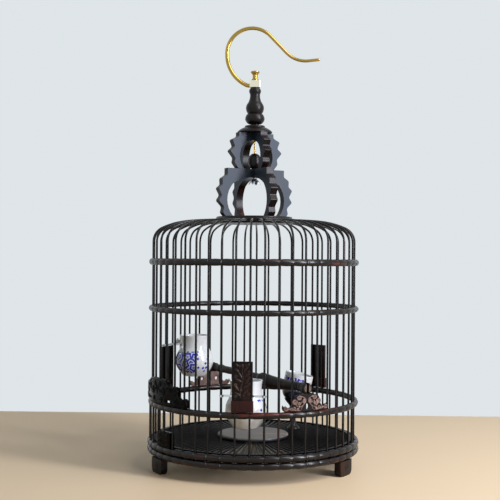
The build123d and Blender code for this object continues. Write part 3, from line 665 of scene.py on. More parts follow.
knob_profile = [
    (0, 0), (5.4, 0), (5.4, 0), (5.5, 1.5), (4.9, 2.2), (3.9, 3.4), (3.7, 5.2), (4.1, 6.4), (3.7, 7.6), (4.6, 9.2),
    (6.2, 11), (7.1, 12.2), (7.1, 13.4), (6.2, 14.4), (3.6, 14.7), (3.2, 15), (0, 15),
]
knob = shaped("turned_knob", shifted(turned(eased(knob_profile), 48), (0, 0, knob_low)), brass, 50)
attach(knob, "cage")
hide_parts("knob")

# Swivel block and hook: a small block of solid brass turns freely on the shank, and the hook, bent
# from tapered brass rod, is pressed into its side. The whole cage hangs from it.
swivel_size, swivel_round = (17.8 * mm, 13 * mm, 12 * mm), 1.6 * mm
swivel_middle, bore_radius, bore_depth = 605.35 * mm, 1.42 * mm, 20 * mm
block = bmesh.new()
cuboid(block, swivel_size, Matrix.Translation((0, 0, swivel_middle)))
softened(block, block.edges[:], swivel_round, 4)
# The swivel block's brass is painted near-white: a painted reflection of the window in its flat faces.
brass_painted_white_reflection = metal("polished brass painted near-white as a reflection", "#fbf3dc", 0.14, 3, 0.02)
block = shaped("brass_swivel_block", block, brass_painted_white_reflection, 30)
bore = bmesh.new()
pin(bore, bore_radius, bore_depth, Matrix.Translation((0, 0, swivel_middle)), 32)
cut(block, bore)
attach(block, "hook_swivel")
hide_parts("swivel_block")
hook_radius, hook_root, hook_drop = 3.2 * mm, 3.6 * mm, 2.4 * mm
# straight lengths, or radii with degrees to the left, and the share of the thickness at the end
hook_course = [
    (5.6, 0, 1), (12, -25, 1), (53.2, -65, 1), (2.6, 0, 1), (40, -136, 0.86), (38, 0, 0.8), (42, 52, 0.76),
    (16, 0, 0.74), (1.9, 0, 0.6), (0.7, 0, 0.35),
]
hook = bmesh.new()
place = Matrix.Translation((-hook_root, 0, swivel_middle - hook_drop)) @ Matrix.Rotation(pi / 2, 4, "Y")
bmesh.ops.create_circle(hook, segments=20, radius=hook_radius, matrix=place)
end, heading, thick = hook.edges[:], pi, 1
for size, turn, next_thick in hook_course:
    steps = max(1, abs(turn) // 5)
    for _ in range(steps):
        if turn:
            middle = sum((side.verts[0].co + side.verts[1].co for side in end), Vector()) / (2 * len(end))
            hand = 1 if turn > 0 else -1
            centre = middle + size * mm * hand * Vector((-sin(heading), 0, cos(heading)))
            end = bent(hook, end, centre, (0, 1, 0), -radians(turn / steps), 1)
            heading += radians(turn / steps)
        else:
            end = drawn_out(hook, end, size * mm * Vector((cos(heading), 0, sin(heading))))
        ring = list({vert for side in end for vert in side.verts})
        middle = sum((vert.co for vert in ring), Vector()) / len(ring)
        growth = (next_thick / thick) ** (1 / steps)
        bmesh.ops.scale(hook, vec=(growth,) * 3, verts=ring, space=Matrix.Translation(-middle))
    thick = next_thick
closed(hook)
hook = shaped("bent_brass_hook", hook, brass, 50)
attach(hook, "hook_swivel")
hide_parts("hook")

# Lift gates: a carved plaque on a plain block, with two bamboo rods that slide through the gate
# hoop and drop into the base ring. One gate gives on each cup. Wood glued and pinned to the rods.
gate_steps = {"front": -0.5, "left": -15.5, "rear": 18.5}
gate_low, gate_back = 106.1 * mm, 161.48 * mm
block_size = Vector((32, 5, 17)) * mm
plaque_size = Vector((30, 4.2, 56)) * mm
plaque_frame, plaque_field, leaf_width, stem_thick = 2.3 * mm, 1.3 * mm, 3.6 * mm, 0.9 * mm
rod_circle, rod_radius, rod_low, rod_play, rod_hold = 163.6 * mm, 1.5 * mm, 39.4 * mm, 0.35 * mm, 8 * mm
rod_holes = [step + side for step in gate_steps.values() for side in (-0.5, 0.5)] + door_bars


def rods(steps, low, high, radius=rod_radius):
    """Upright rods on the circle that the gates slide on."""
    maker = bmesh.new()
    place = Matrix.Translation((0, -rod_circle, (low + high) / 2))
    pin(maker, radius, high - low, place, 16)
    return carried(maker, steps)


def leaf(maker, place, angle, length, wide, depth, thick=1.1 * mm):
    """A carved pointed leaf with a ridge, lying on the face of a flat board."""
    leaf_verts = bmesh.ops.create_uvsphere(maker, u_segments=12, v_segments=10, radius=1)["verts"]
    for vert in leaf_verts:
        across, out, along = vert.co
        slim = max(0, 1 - along * along) ** 0.35
        ridge = 0.35 * thick * (1 - abs(across)) * slim
        vert.co = Vector((across * slim * wide / 2, out * thick * slim - ridge, along * length / 2))
    bmesh.ops.rotate(maker, cent=(0, 0, 0), matrix=Matrix.Rotation(angle, 3, "Y"), verts=leaf_verts)
    bmesh.ops.translate(maker, vec=(place[0], -depth, place[1]), verts=leaf_verts)


def raised(maker, make):
    """Whatever a step adds to a carving gets the second material: high spots painted lighter, partly as rubbed wear and
    partly as a painted highlight.
    """
    before = set(maker.faces)
    make()
    for face in set(maker.faces) - before:
        face.material_index = 1


# Raised carving gets a lighter copy of its wood: partly rubbed wear, partly a painted highlight that the dark sunk
# field sets off.
rubbed_and_lit_hardwood = lacquered_wood(
    "carved hardwood, high spots rubbed and painted lit", ("#1c100d", "#38231c", "#523a30"), (3, 3, 9), (0.28, 0.25, 0.05), relief=0.25
)
red_hardwood = lacquered_wood(
    "red-brown satin hardwood", ("#1c0a08", "#371712", "#4c2018"), (3.5, 3.5, 40), (0.34, 0.2, 0), relief=0.15
)
sprig = [(-2, 4), (-4, 12), (-1, 22), (2, 32), (-1, 42), (1, 50)]
sprig_leaves = [
    (-6.5, 8, 60, 10), (4, 10, -48, 12), (-8, 17, 38, 11), (5, 19, -62, 12), (7, 27, -30, 10), (-5.5, 28, 65, 11),
    (-3, 35, 30, 12), (8, 36, -55, 9), (-7.5, 42, 55, 9), (5, 44, -35, 11), (0, 49, 5, 8), (-8, 50, 40, 7),
    (8.5, 50, -20, 7),
]
sprig_curls = [
    ((-9.5, 6), 2.6, 1.4, 200, 1), ((9.3, 9), 2.8, 1.5, 20, -1), ((-9.6, 22.5), 2.6, 1.4, 120, -1),
    ((9.8, 24), 2.4, 1.4, 60, 1), ((-9.4, 34), 2.8, 1.5, 240, 1), ((9.6, 41), 2.6, 1.4, 300, -1),
    ((-3.5, 50.2), 2.3, 1.3, 30, 1), ((10, 33), 2.2, 1.3, 90, 1), ((1.5, 8), 2.2, 1.3, 150, 1),
    ((-2, 14.5), 2, 1.2, 330, -1), ((5.2, 51), 2.2, 1.3, 200, -1),
]
for name, step in gate_steps.items():
    field = gate_back + plaque_size.y - plaque_field
    base = gate_low + block_size.z
    plaque = bmesh.new()
    cuboid(plaque, plaque_size, Matrix.Translation((0, -gate_back - plaque_size.y / 2, base + plaque_size.z / 2)))
    face = min(plaque.faces, key=lambda side: side.calc_center_median().y)
    bmesh.ops.inset_region(plaque, faces=[face], thickness=plaque_frame)
    bmesh.ops.inset_region(plaque, faces=[face], thickness=0.4 * mm, depth=-plaque_field)
    softened(plaque, [edge for edge in plaque.edges if edge.calc_face_angle(0) > 1.4], 0.5 * mm, 2)
    strokes = [[(across * mm, up * mm + base) for across, up in sprig]]
    for (x, z), size, turns, start, hand in sprig_curls:
        strokes.append(curl((x * mm, z * mm + base), size * mm, turns, radians(start), hand))
    raised(plaque, lambda: carving(plaque, strokes, field, stem_thick))
    for across, up, angle, length in sprig_leaves:
        spot = (across * mm, up * mm + base + 1 * mm)
        raised(plaque, lambda: leaf(plaque, spot, radians(-angle), length * mm, leaf_width, field))
    plaque = shaped(f"{name}_carved_plaque", stepped(plaque, step), carved_hardwood, 50, rubbed_and_lit_hardwood)
    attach(plaque, f"{name}_gate")
    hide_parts(f"{name}_gate_plaque")
    block = bmesh.new()
    cuboid(block, block_size, Matrix.Translation((0, -gate_back - block_size.y / 2, gate_low + block_size.z / 2)))
    softened(block, block.edges[:], 0.8 * mm, 3)
    block = shaped(f"{name}_gate_foot_block", stepped(block, step), red_hardwood, 40)
    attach(block, f"{name}_gate")
    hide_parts(f"{name}_gate_block")
    slides = rods([step - 0.5, step + 0.5], rod_low, base + rod_hold)
    slides = shaped(f"{name}_gate_slides", slides, split_bamboo, 40)
    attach(slides, f"{name}_gate")
    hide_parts(f"{name}_gate_rods")
for name in ("base_cane_upper", "gate_hoop_cane"):
    ring = bpy.data.objects[name]
    spread = [vert.co.z for vert in ring.data.vertices]
    low = max(min(spread) - overrun, rod_low - 0.3 * mm)
    cut(ring, rods(rod_holes, low, max(spread) + overrun, rod_radius + rod_play))

# Main door: seven bamboo rods under one long lintel, sawn to a scalloped outline, curved with the
# wall and carved with scrolls. A carved keeper block on the base ring guides the middle rod.
door_step, keeper_step = -8, -7
lintel_half, lintel_height, lintel_depth, lintel_back = 74.5 * mm, 39 * mm, 4 * mm, 161.75 * mm
lintel_shares = [
    [(0.97, 0)], [(1, 0.10), (0.99, 0.26)], [(0.94, 0.36), (0.88, 0.31)], [(0.80, 0.36), (0.76, 0.58)],
    [(0.74, 0.72), (0.64, 0.76)], [(0.50, 0.80), (0.42, 0.92)], [(0.22, 0.985), (0, 1)],
]
lintel_scrolls = [
    ((65.5, 6.6), 5.4, 1.7, 160, -1, [(58, 9.5), (53, 16)]), ((50.5, 17.5), 6.4, 1.8, 150, -1, [(40, 19), (33, 26)]),
    ((33.5, 25.5), 6.8, 1.9, 20, 1, [(20, 30), (12, 34)]), ((17.5, 20), 7.2, 1.9, 200, -1, [(6, 22), (2, 30)]),
    ((8.5, 30), 4.4, 1.5, 180, 1, [(2, 25), (0, 14)]), ((48, 6.2), 3.6, 1.4, 10, 1, [(56, 3), (64, 1.8)]),
    ((12.5, 7.2), 4.6, 1.6, 210, -1, [(6, 3.5), (1, 2.5)]),
]


def mirrored_scrolls(scrolls):
    """Carved curls and their mirror images."""
    right = []
    for (x, z), size, turns, start, hand, tail in scrolls:
        tail = [(across * mm, up * mm) for across, up in tail]
        right.append(curl((x * mm, z * mm), size * mm, turns, radians(start), hand, tail))
    return right + [[(-across, up) for across, up in stroke] for stroke in right]


def border(outside, inset):
    """A thin raised line that follows the top of an outline inside its edge."""
    upper = [(across, up - inset) for across, up in outside if up > inset * 1.5]
    return [(across * (1 - inset / abs(across)) if abs(across) > inset else across, up) for across, up in upper]


lintel_outline = drawn(lintel_shares, lintel_half, lintel_height)
slot_aside, slot_up = 31.3 * mm, 6.2 * mm
slot_corners = [(-6.2, -1.2), (-5, -1.9), (5, -1.9), (6.2, -1.2), (6.2, 1.2), (5, 1.9), (-5, 1.9), (-6.2, 1.2)]
slots = [[(side * slot_aside + x * mm, slot_up + z * mm) for x, z in slot_corners] for side in (-1, 1)]
lintel = sawn([lintel_outline, *slots], lintel_depth, 1.1 * mm)
lintel_strokes = mirrored_scrolls(lintel_scrolls) + [border(lintel_outline, 1.6 * mm)]
raised(lintel, lambda: carving(lintel, lintel_strokes, lintel_depth, 1.5 * mm))
lintel = stepped(shifted(curved(lintel, lintel_back), (0, 0, gate_low)), door_step)
ebony = lacquered_wood(
    "glossy black carved hardwood", ("#030202", "#090606", "#100a09"), (4, 4, 10), (0.2, 0.04, 0), relief=0.15
)
# The raised carving on the lintel and keeper is painted a little lighter, as rubbed wear and as a painted highlight.
ebony_rubbed_and_lit = lacquered_wood(
    "glossy black hardwood, high spots painted lighter", ("#050404", "#0d0908", "#17100e"), (3, 3, 9), (0.18, 0.08, 0), relief=0.15
)
lintel = shaped("carved_door_lintel", lintel, ebony, 50, ebony_rubbed_and_lit)
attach(lintel, "main_door")
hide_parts("door_lintel")
slides = shaped("door_slides", rods(door_bars, rod_low, gate_low + rod_hold), split_bamboo, 40)
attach(slides, "main_door")
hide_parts("door_rods")
keeper_shares = [[(1, 0)], [(1, 0.84)], [(0.96, 0.98), (0.80, 1)], [(0, 1)]]
keeper_half, keeper_height, keeper_depth, keeper_sunk = 17.5 * mm, 22.6 * mm, 8.4 * mm, 0.3 * mm
keeper = sawn([drawn(keeper_shares, keeper_half, keeper_height)], keeper_depth, 1.3 * mm)
keeper_scrolls = [((9.4, 8), 5.2, 1.7, 160, -1, [(3, 10), (1, 17)]), ((9.5, 17.2), 3.2, 1.4, 200, 1, [(4, 14), (1, 8)])]
raised(keeper, lambda: carving(keeper, mirrored_scrolls(keeper_scrolls), keeper_depth - keeper_sunk, 1.2 * mm))
keeper = stepped(shifted(curved(keeper, base_ring_inner), (0, 0, base_top)), keeper_step)
keeper = shaped("carved_door_keeper", keeper, ebony, 50, ebony_rubbed_and_lit)
cut(keeper, rods([keeper_step], base_top - overrun, base_top + keeper_height + overrun, rod_radius + rod_play))
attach(keeper, "cage")
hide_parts("door_keeper")

# Perch brackets: two curved boards pierced and carved with curls, glued on the gate hoop. The ends
# of the perch lie in the hollow in the middle of each.
bracket_steps = {"front": 4, "rear": -20}
bracket_low, bracket_half, bracket_height, bracket_depth = 105.8 * mm, 37.5 * mm, 27 * mm, 3.9 * mm
perch_height, hollow_radius, hollow_length = 138.9 * mm, 8.5 * mm, 40 * mm
bracket_shares = [
    [(0.88, 0)], [(1, 0.12), (0.99, 0.36)], [(0.93, 0.42), (0.89, 0.32)], [(0.78, 0.22), (0.66, 0.30)],
    [(0.60, 0.44), (0.57, 0.62)], [(0.48, 0.84), (0.34, 0.90)], [(0.20, 0.98), (0, 1)],
]
bracket_scrolls = {
    "front": [
        ((32.8, 5.2), 3.6, 1.5, 170, -1, [(26, 2.2), (18, 2.6), (11, 1.6)]),
        ((19.8, 14.6), 4.4, 1.7, 140, -1, [(19, 6.4), (12, 8)]),
        ((12.4, 20.4), 3.8, 1.6, 30, 1, [(5, 22), (1.6, 17)]), ((5.2, 14.6), 3.1, 1.4, 200, 1, [(8, 8.6), (10, 3)]),
        ((21, 5.2), 2.6, 1.3, 20, 1, [(28, 5.6), (32, 1.8)]), ((12.6, 11.2), 2.6, 1.3, 300, -1, [(8, 14), (4, 20)]),
        ((15, 3.4), 1.9, 1.2, 90, 1, [(12, 6), (7, 9)]),
    ],
    "rear": [((32.8, 5.6), 3.4, 1.4, 170, -1, [(26, 2.2), (19, 2.2)])],
}
bracket_eyes = {
    "front": [
        (0, 7, 3.6, 4.6), (11, 7.2, 1.5, 2), (13.4, 14.6, 1.9, 1.9), (17, 9.4, 1.5, 1.6), (25.4, 6, 1.5, 1.2),
        (7.6, 18.6, 1.2, 1.4),
    ],
    "rear": [(0, 9.7, 3.7, 3.9), (13.5, 11.3, 2.6, 2.8)],
}
# The raised curls of the brackets are painted light pinkish brown: partly rubbed wear, partly a painted highlight.
bracket_rubbed_and_lit = lacquered_wood(
    "pierced hardwood, rubbed and painted lit pinkish brown", ("#5a4038", "#967a70", "#bca299"), (3, 3, 9), (0.3, 0.35, 0.05),
    relief=0.2,
)
eye_turns = [2 * pi * share / 16 for share in range(16)]
for name, step in bracket_steps.items():
    eyes = []
    for x, z, wide, tall in bracket_eyes[name]:
        for side in (1, -1) if x else (1,):
            eyes.append([(side * x * mm + wide * mm * cos(turn), z * mm + tall * mm * sin(turn)) for turn in eye_turns])
    bracket = sawn([drawn(bracket_shares, bracket_half, bracket_height), *eyes], bracket_depth, 1.0 * mm)
    strokes = mirrored_scrolls(bracket_scrolls[name])
    raised(bracket, lambda: carving(bracket, strokes, bracket_depth, 1.1 * mm))
    bracket = stepped(shifted(curved(bracket, lintel_back), (0, 0, bracket_low)), step)
    hollow = bmesh.new()
    place = Matrix.Translation((0, -bar_circle, perch_height)) @ Matrix.Rotation(pi / 2, 4, "X")
    pin(hollow, hollow_radius, hollow_length, place, 48)
    # The rear bracket, lit through the cage, is painted all in the light curl colour as painted light; the front one
    # keeps the dark wood in its field.
    field_painted_lit_at_rear = carved_hardwood if name == "front" else bracket_rubbed_and_lit
    bracket = shaped(f"carved_{name}_bracket", bracket, field_painted_lit_at_rear, 50, bracket_rubbed_and_lit)
    cut(bracket, stepped(hollow, step))
    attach(bracket, "cage")
    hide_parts(f"perch_bracket_{name}")

# Perch: a natural branch with its bark, with a turned bead and two slotted ends that straddle a
# bar. The ends are turned dark wood, and the front one is faced with a pale ring.
perch_turn = 4 * bar_step
branch_end, branch_radius, branch_part, branch_sag = 145.4, 11, 0.012, 2.2 * mm
branch_girth = [
    (-1, 0.58), (-0.965, 0.62), (-0.94, 0.70), (-0.915, 0.62), (-0.88, 0.56), (-0.83, 0.60), (-0.79, 0.68),
    (-0.75, 0.60), (-0.70, 0.56), (-0.45, 0.55), (-0.25, 0.54), (0, 0.555), (0.14, 0.58), (0.175, 0.78), (0.205, 0.95),
    (0.24, 1), (0.3, 0.95), (0.46, 0.84), (0.62, 0.76), (0.80, 0.68), (0.9, 0.63), (1, 0.58),
]


def lain(maker, turn=perch_turn):
    """A piece turned upright, laid down along the perch with its top towards the front."""
    down = Matrix.Rotation(turn, 3, "Z") @ Matrix.Rotation(pi / 2, 3, "X")
    bmesh.ops.rotate(maker, cent=(0, 0, 0), matrix=down, verts=maker.verts)
    return shifted(maker, (0, 0, perch_height))


levels = [(0, -branch_end)]
for (start, girth), (end, next_girth) in zip(branch_girth, branch_girth[1:]):
    parts = max(1, round((end - start) / branch_part))
    for part in range(parts):
        away = branch_radius * (girth + (next_girth - girth) * part / parts)
        levels.append((away, branch_end * (start + (end - start) * part / parts)))
levels += [(branch_radius * branch_girth[-1][1], branch_end), (0, branch_end)]
branch = turned(levels, 40)
for vert in branch.verts:
    x, y, z = vert.co
    along = z / (branch_end * mm)
    # fine furrows run along the branch, rings across it, and broad lumps both ways
    furrows = noise.noise(Vector((x * 330, y * 330, z * 45))) * 0.07
    rings = noise.noise(Vector((3.1, 1.7, z * 420))) * 0.025
    lumps = noise.noise(Vector((x * 60, y * 60, z * 24 + 7))) * 0.10
    full = 0.97 + (furrows + rings + lumps) * min(1, (1 - abs(along)) * 12)
    sag = branch_sag * sin(pi * min(1, max(0, (along - 0.1) / 0.8))) ** 0.8
    vert.co = (x * full, y * full - sag, z)
bark = lacquered_wood("waxed dark bark", ("#100a08", "#291b14", "#3a2a21"), (1.6, 1.6, 9), (0.36, 0.08, 0), relief=0.4)
branch = shaped("bark_branch", lain(branch), bark, 60)
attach(branch, "perch")
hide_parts("perch_branch")
bead_end, perch_end = 154.4, 167.4
fork_size, fork_middle = (4 * mm, 30 * mm, 40 * mm), 178 * mm
bead_profile = [
    (0, branch_end), (4.8, branch_end), (4.8, branch_end), (6.9, 147.6), (7.0, 149.9), (6.9, 152.2),
    (4.8, bead_end), (4.8, bead_end), (0, bead_end),
]
bead = shaped("perch_turned_bead", lain(turned(eased(bead_profile), 40)), rosewood, 50)
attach(bead, "perch")
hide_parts("perch_bead")
pale_wood = lacquered_wood(
    "pale satin end ring", ("#4a3d34", "#6e5e50", "#7c6b5c"), (4, 4, 4), (0.35, 0.2, 0), relief=0.1
)
for name, start, turn in (("front", bead_end, perch_turn), ("rear", branch_end, perch_turn + pi)):
    end_profile = [
        (0, start), (6.2, start), (6.2, start), (8.2, start + 1.6), (8.2, start + 1.6), (8.2, 164.8), (8.2, 164.8),
        (7.4, 166.4), (5.8, perch_end), (5.8, perch_end), (0, perch_end),
    ]
    end = turned(eased(end_profile), 48)
    for face in end.faces:
        face.material_index = int(face.calc_center_median().z > (perch_end - 0.02) * mm)
    end = shaped(f"perch_{name}_slotted_end", lain(end, turn), rosewood, 50, pale_wood)
    slot = bmesh.new()
    cuboid(slot, fork_size, Matrix.Translation((0, 0, fork_middle)))
    cut(end, lain(slot, turn))
    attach(end, "perch")
    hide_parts(f"perch_fork_{name}")

# Feeding cups: three thrown porcelain cups with a white glaze and a cobalt flower pattern. Two hang
# by a lug on the peg of a steel hanger that is clipped to the bars.
cup_axis, flower_cell, flower_petals, brush_edge = 110 * mm, 15 * mm, 5, 0.6 * mm
cup_profile = [
    (0.52, 0), (0.60, 0.012), (0.72, 0.075), (0.83, 0.14), (0.92, 0.205), (0.98, 0.28), (1.005, 0.36), (0.995, 0.44),
    (0.93, 0.54), (0.83, 0.62), (0.765, 0.69), (0.745, 0.78), (0.75, 0.88), (0.775, 0.955), (0.79, 1),
]


def thrown_cup(radius, height, profile, wall=2.4, base=3.6, grown=0):
    """A cup as thrown: foot ring, belly, rolled rim and an even wall."""
    outside = [(share * radius + grown, up * height - grown) for share, up in profile]
    if grown:
        return turned([(0, -grown), *outside, (0, height)], 64)
    lip = profile[-1][0] * radius
    rim = [(lip - 0.5, height), (lip - wall + 0.4, height - 0.1)]
    inside = [(share * radius - wall, up * height) for share, up in reversed(profile[3:-1])]
    floor = [(0.52 * radius - wall, base + 2), (0.3 * radius, base), (0, base)]
    foot = [(0, 1.4), (0.40 * radius, 1.4), (0.44 * radius, 0.2), (0.47 * radius, 0)]
    return turned([foot[0], *eased([*foot, *outside, *rim, *inside, *floor])[1:]], 72)


def painted_porcelain(name, centre, radius, band, dense, sparse, lean=0, dark_below=-9):
    """White glaze with cobalt between two heights: many-petalled flowers on one side, loose petals on the other. Below
    a given height a cup may be dark blue."""
    values = {"Roughness": 0.12, "Coat Weight": 0.6, "Coat Roughness": 0.05, "IOR": 1.5}
    material, tree, shader, place = surface(name, values)
    back = Matrix.Rotation(-lean, 3, "Y")
    local = add(tree, "Mapping", {0: place, 1: -(back @ Vector(centre)), 2: (0, -lean, 0)})
    wrapped = round_the_axis(tree, local.outputs[0], radius)
    around = add(tree, "SeparateXYZ", {0: wrapped})
    flat = add(tree, "CombineXYZ", {0: around, 1: around.outputs[2]})
    paper = add(tree, "Mapping", {0: flat, 3: (1 / flower_cell, 1 / flower_cell, 1)})
    even = {"Vector": paper, "Scale": 1, "Randomness": 0.45}
    cells = add(tree, "TexVoronoi", even, voronoi_dimensions="2D")
    from_middle = add(tree, "VectorMath", {0: paper, 1: cells.outputs["Position"]}, operation="SUBTRACT")
    spot = add(tree, "SeparateXYZ", {0: from_middle})
    angle = add(tree, "Math", {0: spot, 1: spot.outputs[1]}, operation="ARCTAN2")
    petals = add(tree, "Math", {0: angle, 1: flower_petals}, operation="MULTIPLY")
    lobes = add(tree, "Math", {0: petals}, operation="COSINE")
    bent_rings = add(tree, "Math", {0: lobes, 1: 0.05, 2: cells.outputs["Distance"]}, operation="MULTIPLY_ADD")
    rings = add(tree, "Math", {0: bent_rings, 1: 0.17}, operation="PINGPONG")
    flower = add(tree, "MapRange", {"Value": rings, "From Min": 0.115, "From Max": 0.13, "To Min": 1, "To Max": 0})
    loose = {"Vector": paper, "Scale": 2.3, "Randomness": 0.8}
    bits = add(tree, "TexVoronoi", loose, voronoi_dimensions="2D", distance="MANHATTAN")
    ramp = {"From Min": 0.36, "From Max": 0.44, "To Min": 1, "To Max": 0}
    bit = add(tree, "MapRange", {"Value": bits.outputs["Distance"], **ramp})
    chosen = add(tree, "Math", {0: bits.outputs["Color"], 1: 0.42}, operation="GREATER_THAN")
    petal = add(tree, "Math", {0: bit, 1: chosen}, operation="MULTIPLY")
    painted = None
    for pattern, (start, end) in ((flower, dense), (petal, sparse)):
        for edge, low, high in ((start, 0, 1), (end, 1, 0)):
            ramp = {"From Min": edge, "From Max": edge + brush_edge, "To Min": low, "To Max": high}
            mask = add(tree, "MapRange", {"Value": around, **ramp})
            pattern = add(tree, "Math", {0: pattern, 1: mask}, operation="MULTIPLY")
        painted = add(tree, "Math", {0: painted, 1: pattern}, operation="MAXIMUM") if painted else pattern
    frayed = add(tree, "Math", {0: lobes, 1: 1.1 * mm, 2: around.outputs[2]}, operation="MULTIPLY_ADD")
    low, high = band
    above = add(tree, "MapRange", {"Value": frayed, "From Min": low, "From Max": low + brush_edge})
    ramp = {"From Min": high, "From Max": high + brush_edge, "To Min": 1, "To Max": 0}
    below = add(tree, "MapRange", {"Value": frayed, **ramp})
    inside = add(tree, "Math", {0: above, 1: below}, operation="MULTIPLY")
    painted = add(tree, "Math", {0: painted, 1: inside}, operation="MULTIPLY")
    tone = add(tree, "TexNoise", {"Vector": paper, "Scale": 2.3}, noise_dimensions="2D")
    cobalt = add(tree, "Mix", {0: tone, 6: linear("#0c1590"), 7: linear("#2a3ccc")}, data_type="RGBA")
    dark_lower = add(tree, "MapRange", {"Value": frayed, "From Min": dark_below, "From Max": dark_below + brush_edge})
    ground = add(tree, "Mix", {0: dark_lower, 6: linear("#1a2238"), 7: linear("#e8eaea")}, data_type="RGBA")
    glaze = add(tree, "Mix", {0: painted, 6: ground.outputs[2], 7: cobalt.outputs[2]}, data_type="RGBA")
    tree.links.new(glaze.outputs[2], shader.inputs["Base Color"])
    return material


bright_steel = metal("bright spring steel", "#d4d8dc", 0.2, 1.5, 0.02)
lug_profile = [(2.05, 0), (3.6, 0), (4, 0.4), (4, 5.6), (3.6, 6), (2.05, 6), (2.05, 0)]
neck_size = (6 * mm, 8 * mm, 5.6 * mm)
# radius, height and lower end in millimetres, step of the wall, then the heights between which the cup
# is painted, and from where to where round it the flowers and the loose petals go
cups = {
    "front": (31, 71, 75, gate_steps["front"], (19 * mm, 43 * mm), (-80 * mm, -50 * mm), (22 * mm, 60 * mm)),
    "left": (31, 67, 133, gate_steps["left"], (7 * mm, 41 * mm), (-70 * mm, 6 * mm), (6 * mm, 34 * mm)),
}
for name, (radius, height, low, step, band, dense, sparse) in cups.items():
    centre = Matrix.Rotation(step * bar_step, 3, "Z") @ Vector((0, -cup_axis, low * mm))
    cup = thrown_cup(radius, height, cup_profile)
    lug_out, lug_low = (radius + 2.2) * mm, (0.86 * height - 6) * mm
    lug = shifted(turned(lug_profile, 32), (0, -lug_out, lug_low))
    cuboid(lug, neck_size, Matrix.Translation((0, -lug_out + 7 * mm, lug_low + 3 * mm)))
    merged(cup, lug)
    shifted(cup, (0, -cup_axis, low * mm))
    glazed = painted_porcelain(f"white glaze with cobalt flowers, {name} cup", centre, radius * mm, band, dense, sparse)
    cup = shaped(f"porcelain_{name}_cup", stepped(cup, step), glazed, 50)
    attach(cup, f"seed_cup_{name}")
    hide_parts(f"{name}_cup")
    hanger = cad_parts[f"{name}_cup_hanger"].data
    hanger.materials.clear()
    hanger.materials.append(bright_steel)

# Smallest cup: it leans in a turned wooden stand that is fixed on the floor slats.
lean, stand_axis, rear_low, rear_radius, rear_height = radians(13), 99 * mm, 91 * mm, 23.5, 45
stand_step = gate_steps["rear"] * bar_step
stand_spot = Vector((stand_axis * sin(stand_step), -stand_axis * cos(stand_step), 0))
rear_centre = stand_spot + Vector((0, 0, rear_low))
bowl_profile = [
    (0.52, 0), (0.62, 0.014), (0.74, 0.06), (0.84, 0.12), (0.915, 0.20), (0.97, 0.30), (0.99, 0.42), (1, 0.55),
    (1, 0.70), (1, 0.86), (1, 1),
]
rear_place = Matrix.Translation(rear_centre) @ Matrix.Rotation(lean, 4, "Y")
cup = thrown_cup(rear_radius, rear_height, bowl_profile)
bmesh.ops.transform(cup, matrix=rear_place, verts=cup.verts)
glazed = painted_porcelain(
    "white glaze with cobalt flowers, rear cup", rear_centre, rear_radius * mm,
    (27.5 * mm, 37.5 * mm), (-50 * mm, 12 * mm), (12 * mm, 14 * mm), lean, 19 * mm,
)
cup = shaped("porcelain_rear_cup", cup, glazed, 50)
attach(cup, "seed_cup_rear")
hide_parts("rear_cup")
stand_profile = [
    (0, 0), (10.5, 0), (10.5, 0), (9.3, 2.5), (4.8, 6.1), (3.9, 13), (3.9, 21), (5.1, 34.4), (8, 40.4), (12, 44.5),
    (14.6, 48.6), (15, 50.6), (15, 50.6), (0, 50.6),
]
stand = shifted(turned(eased(stand_profile), 48), stand_spot + Vector((0, 0, base_top)))
stand = shaped("turned_cup_stand", stand, rosewood, 50)
pocket = thrown_cup(rear_radius, rear_height, bowl_profile, grown=0.3)
bmesh.ops.transform(pocket, matrix=rear_place, verts=pocket.verts)
cut(stand, pocket)
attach(stand, "cage")
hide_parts("rear_cup_stand")

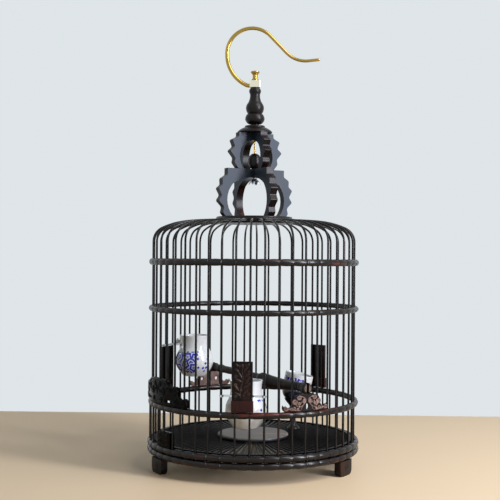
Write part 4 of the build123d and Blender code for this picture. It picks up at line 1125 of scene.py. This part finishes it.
# Stage: a plain pale table top that ends behind the cage, a tall window light and a high wide one
# from the right, a weak fill, and the camera at the photograph's height and distance.
table_wide, table_deep = 1.4, 0.98
table, table_area = bmesh.new(), Matrix.Diagonal((table_wide, table_deep, 1, 1))
bmesh.ops.create_grid(table, x_segments=1, y_segments=1, size=0.5, matrix=table_area)
matt, *_ = surface("plain matt table top", {"Base Color": linear("#ead1ad"), "Roughness": 0.55})
table_top = shaped("table_top", table, matt)

room_light = 0.18
world = bpy.data.worlds.new("pale wall")
bpy.context.scene.world = world
world.use_nodes = True
world_tree = world.node_tree
seen = add(world_tree, "LightPath")
full = seen.outputs["Is Camera Ray"]
for ray in ("Is Glossy Ray", "Is Transmission Ray"):
    full = add(world_tree, "Math", {0: full, 1: seen.outputs[ray]}, operation="MAXIMUM")
strength = add(world_tree, "MapRange", {"Value": full, "To Min": room_light, "To Max": 1})
wall = world_tree.nodes["Background"]
wall.inputs["Color"].default_value = linear("#dfe5e8")
world_tree.links.new(strength.outputs[0], wall.inputs["Strength"])


lit_point = Vector((0, 0, 0.3))


def soft_light(name, place, size, power, colour):
    """A soft light of a width and a height that faces the cage."""
    lamp = bpy.data.lights.new(name, "AREA")
    lamp.shape, lamp.size, lamp.size_y, lamp.energy = "RECTANGLE", *size, power
    lamp.color = linear(colour)[:3]
    light = placed(name, lamp)
    light.location = place
    light.rotation_euler = (lit_point - Vector(place)).to_track_quat("-Z", "Y").to_euler()


soft_light("window", (1.6, -1.0, 0.8), (0.34, 1.1), 42, "#f0f2ff")
soft_light("fill", (-1.5, -1.6, 1.5), (1, 1), 2, "#fff6ec")
soft_light("top", (1.1, -0.7, 1.75), (1.2, 1.0), 22, "#ffffff")

camera_distance, camera_height, camera_turn, camera_roll = 1.568, 0.328, radians(1.72), radians(0.37)
eye = bpy.data.cameras.new("camera")
eye.sensor_width, eye.lens, eye.shift_x, eye.shift_y = 36, 70.61, -0.0080, 0.0154
camera = placed("camera", eye)
camera.location = (camera_distance * sin(camera_turn), -camera_distance * cos(camera_turn), camera_height)
level = Matrix.Rotation(camera_turn, 3, "Z") @ Matrix.Rotation(pi / 2, 3, "X")
camera.rotation_euler = (level @ Matrix.Rotation(camera_roll, 3, "Z")).to_euler()
bpy.context.scene.camera = camera
bpy.context.scene.view_settings.view_transform = "Standard"
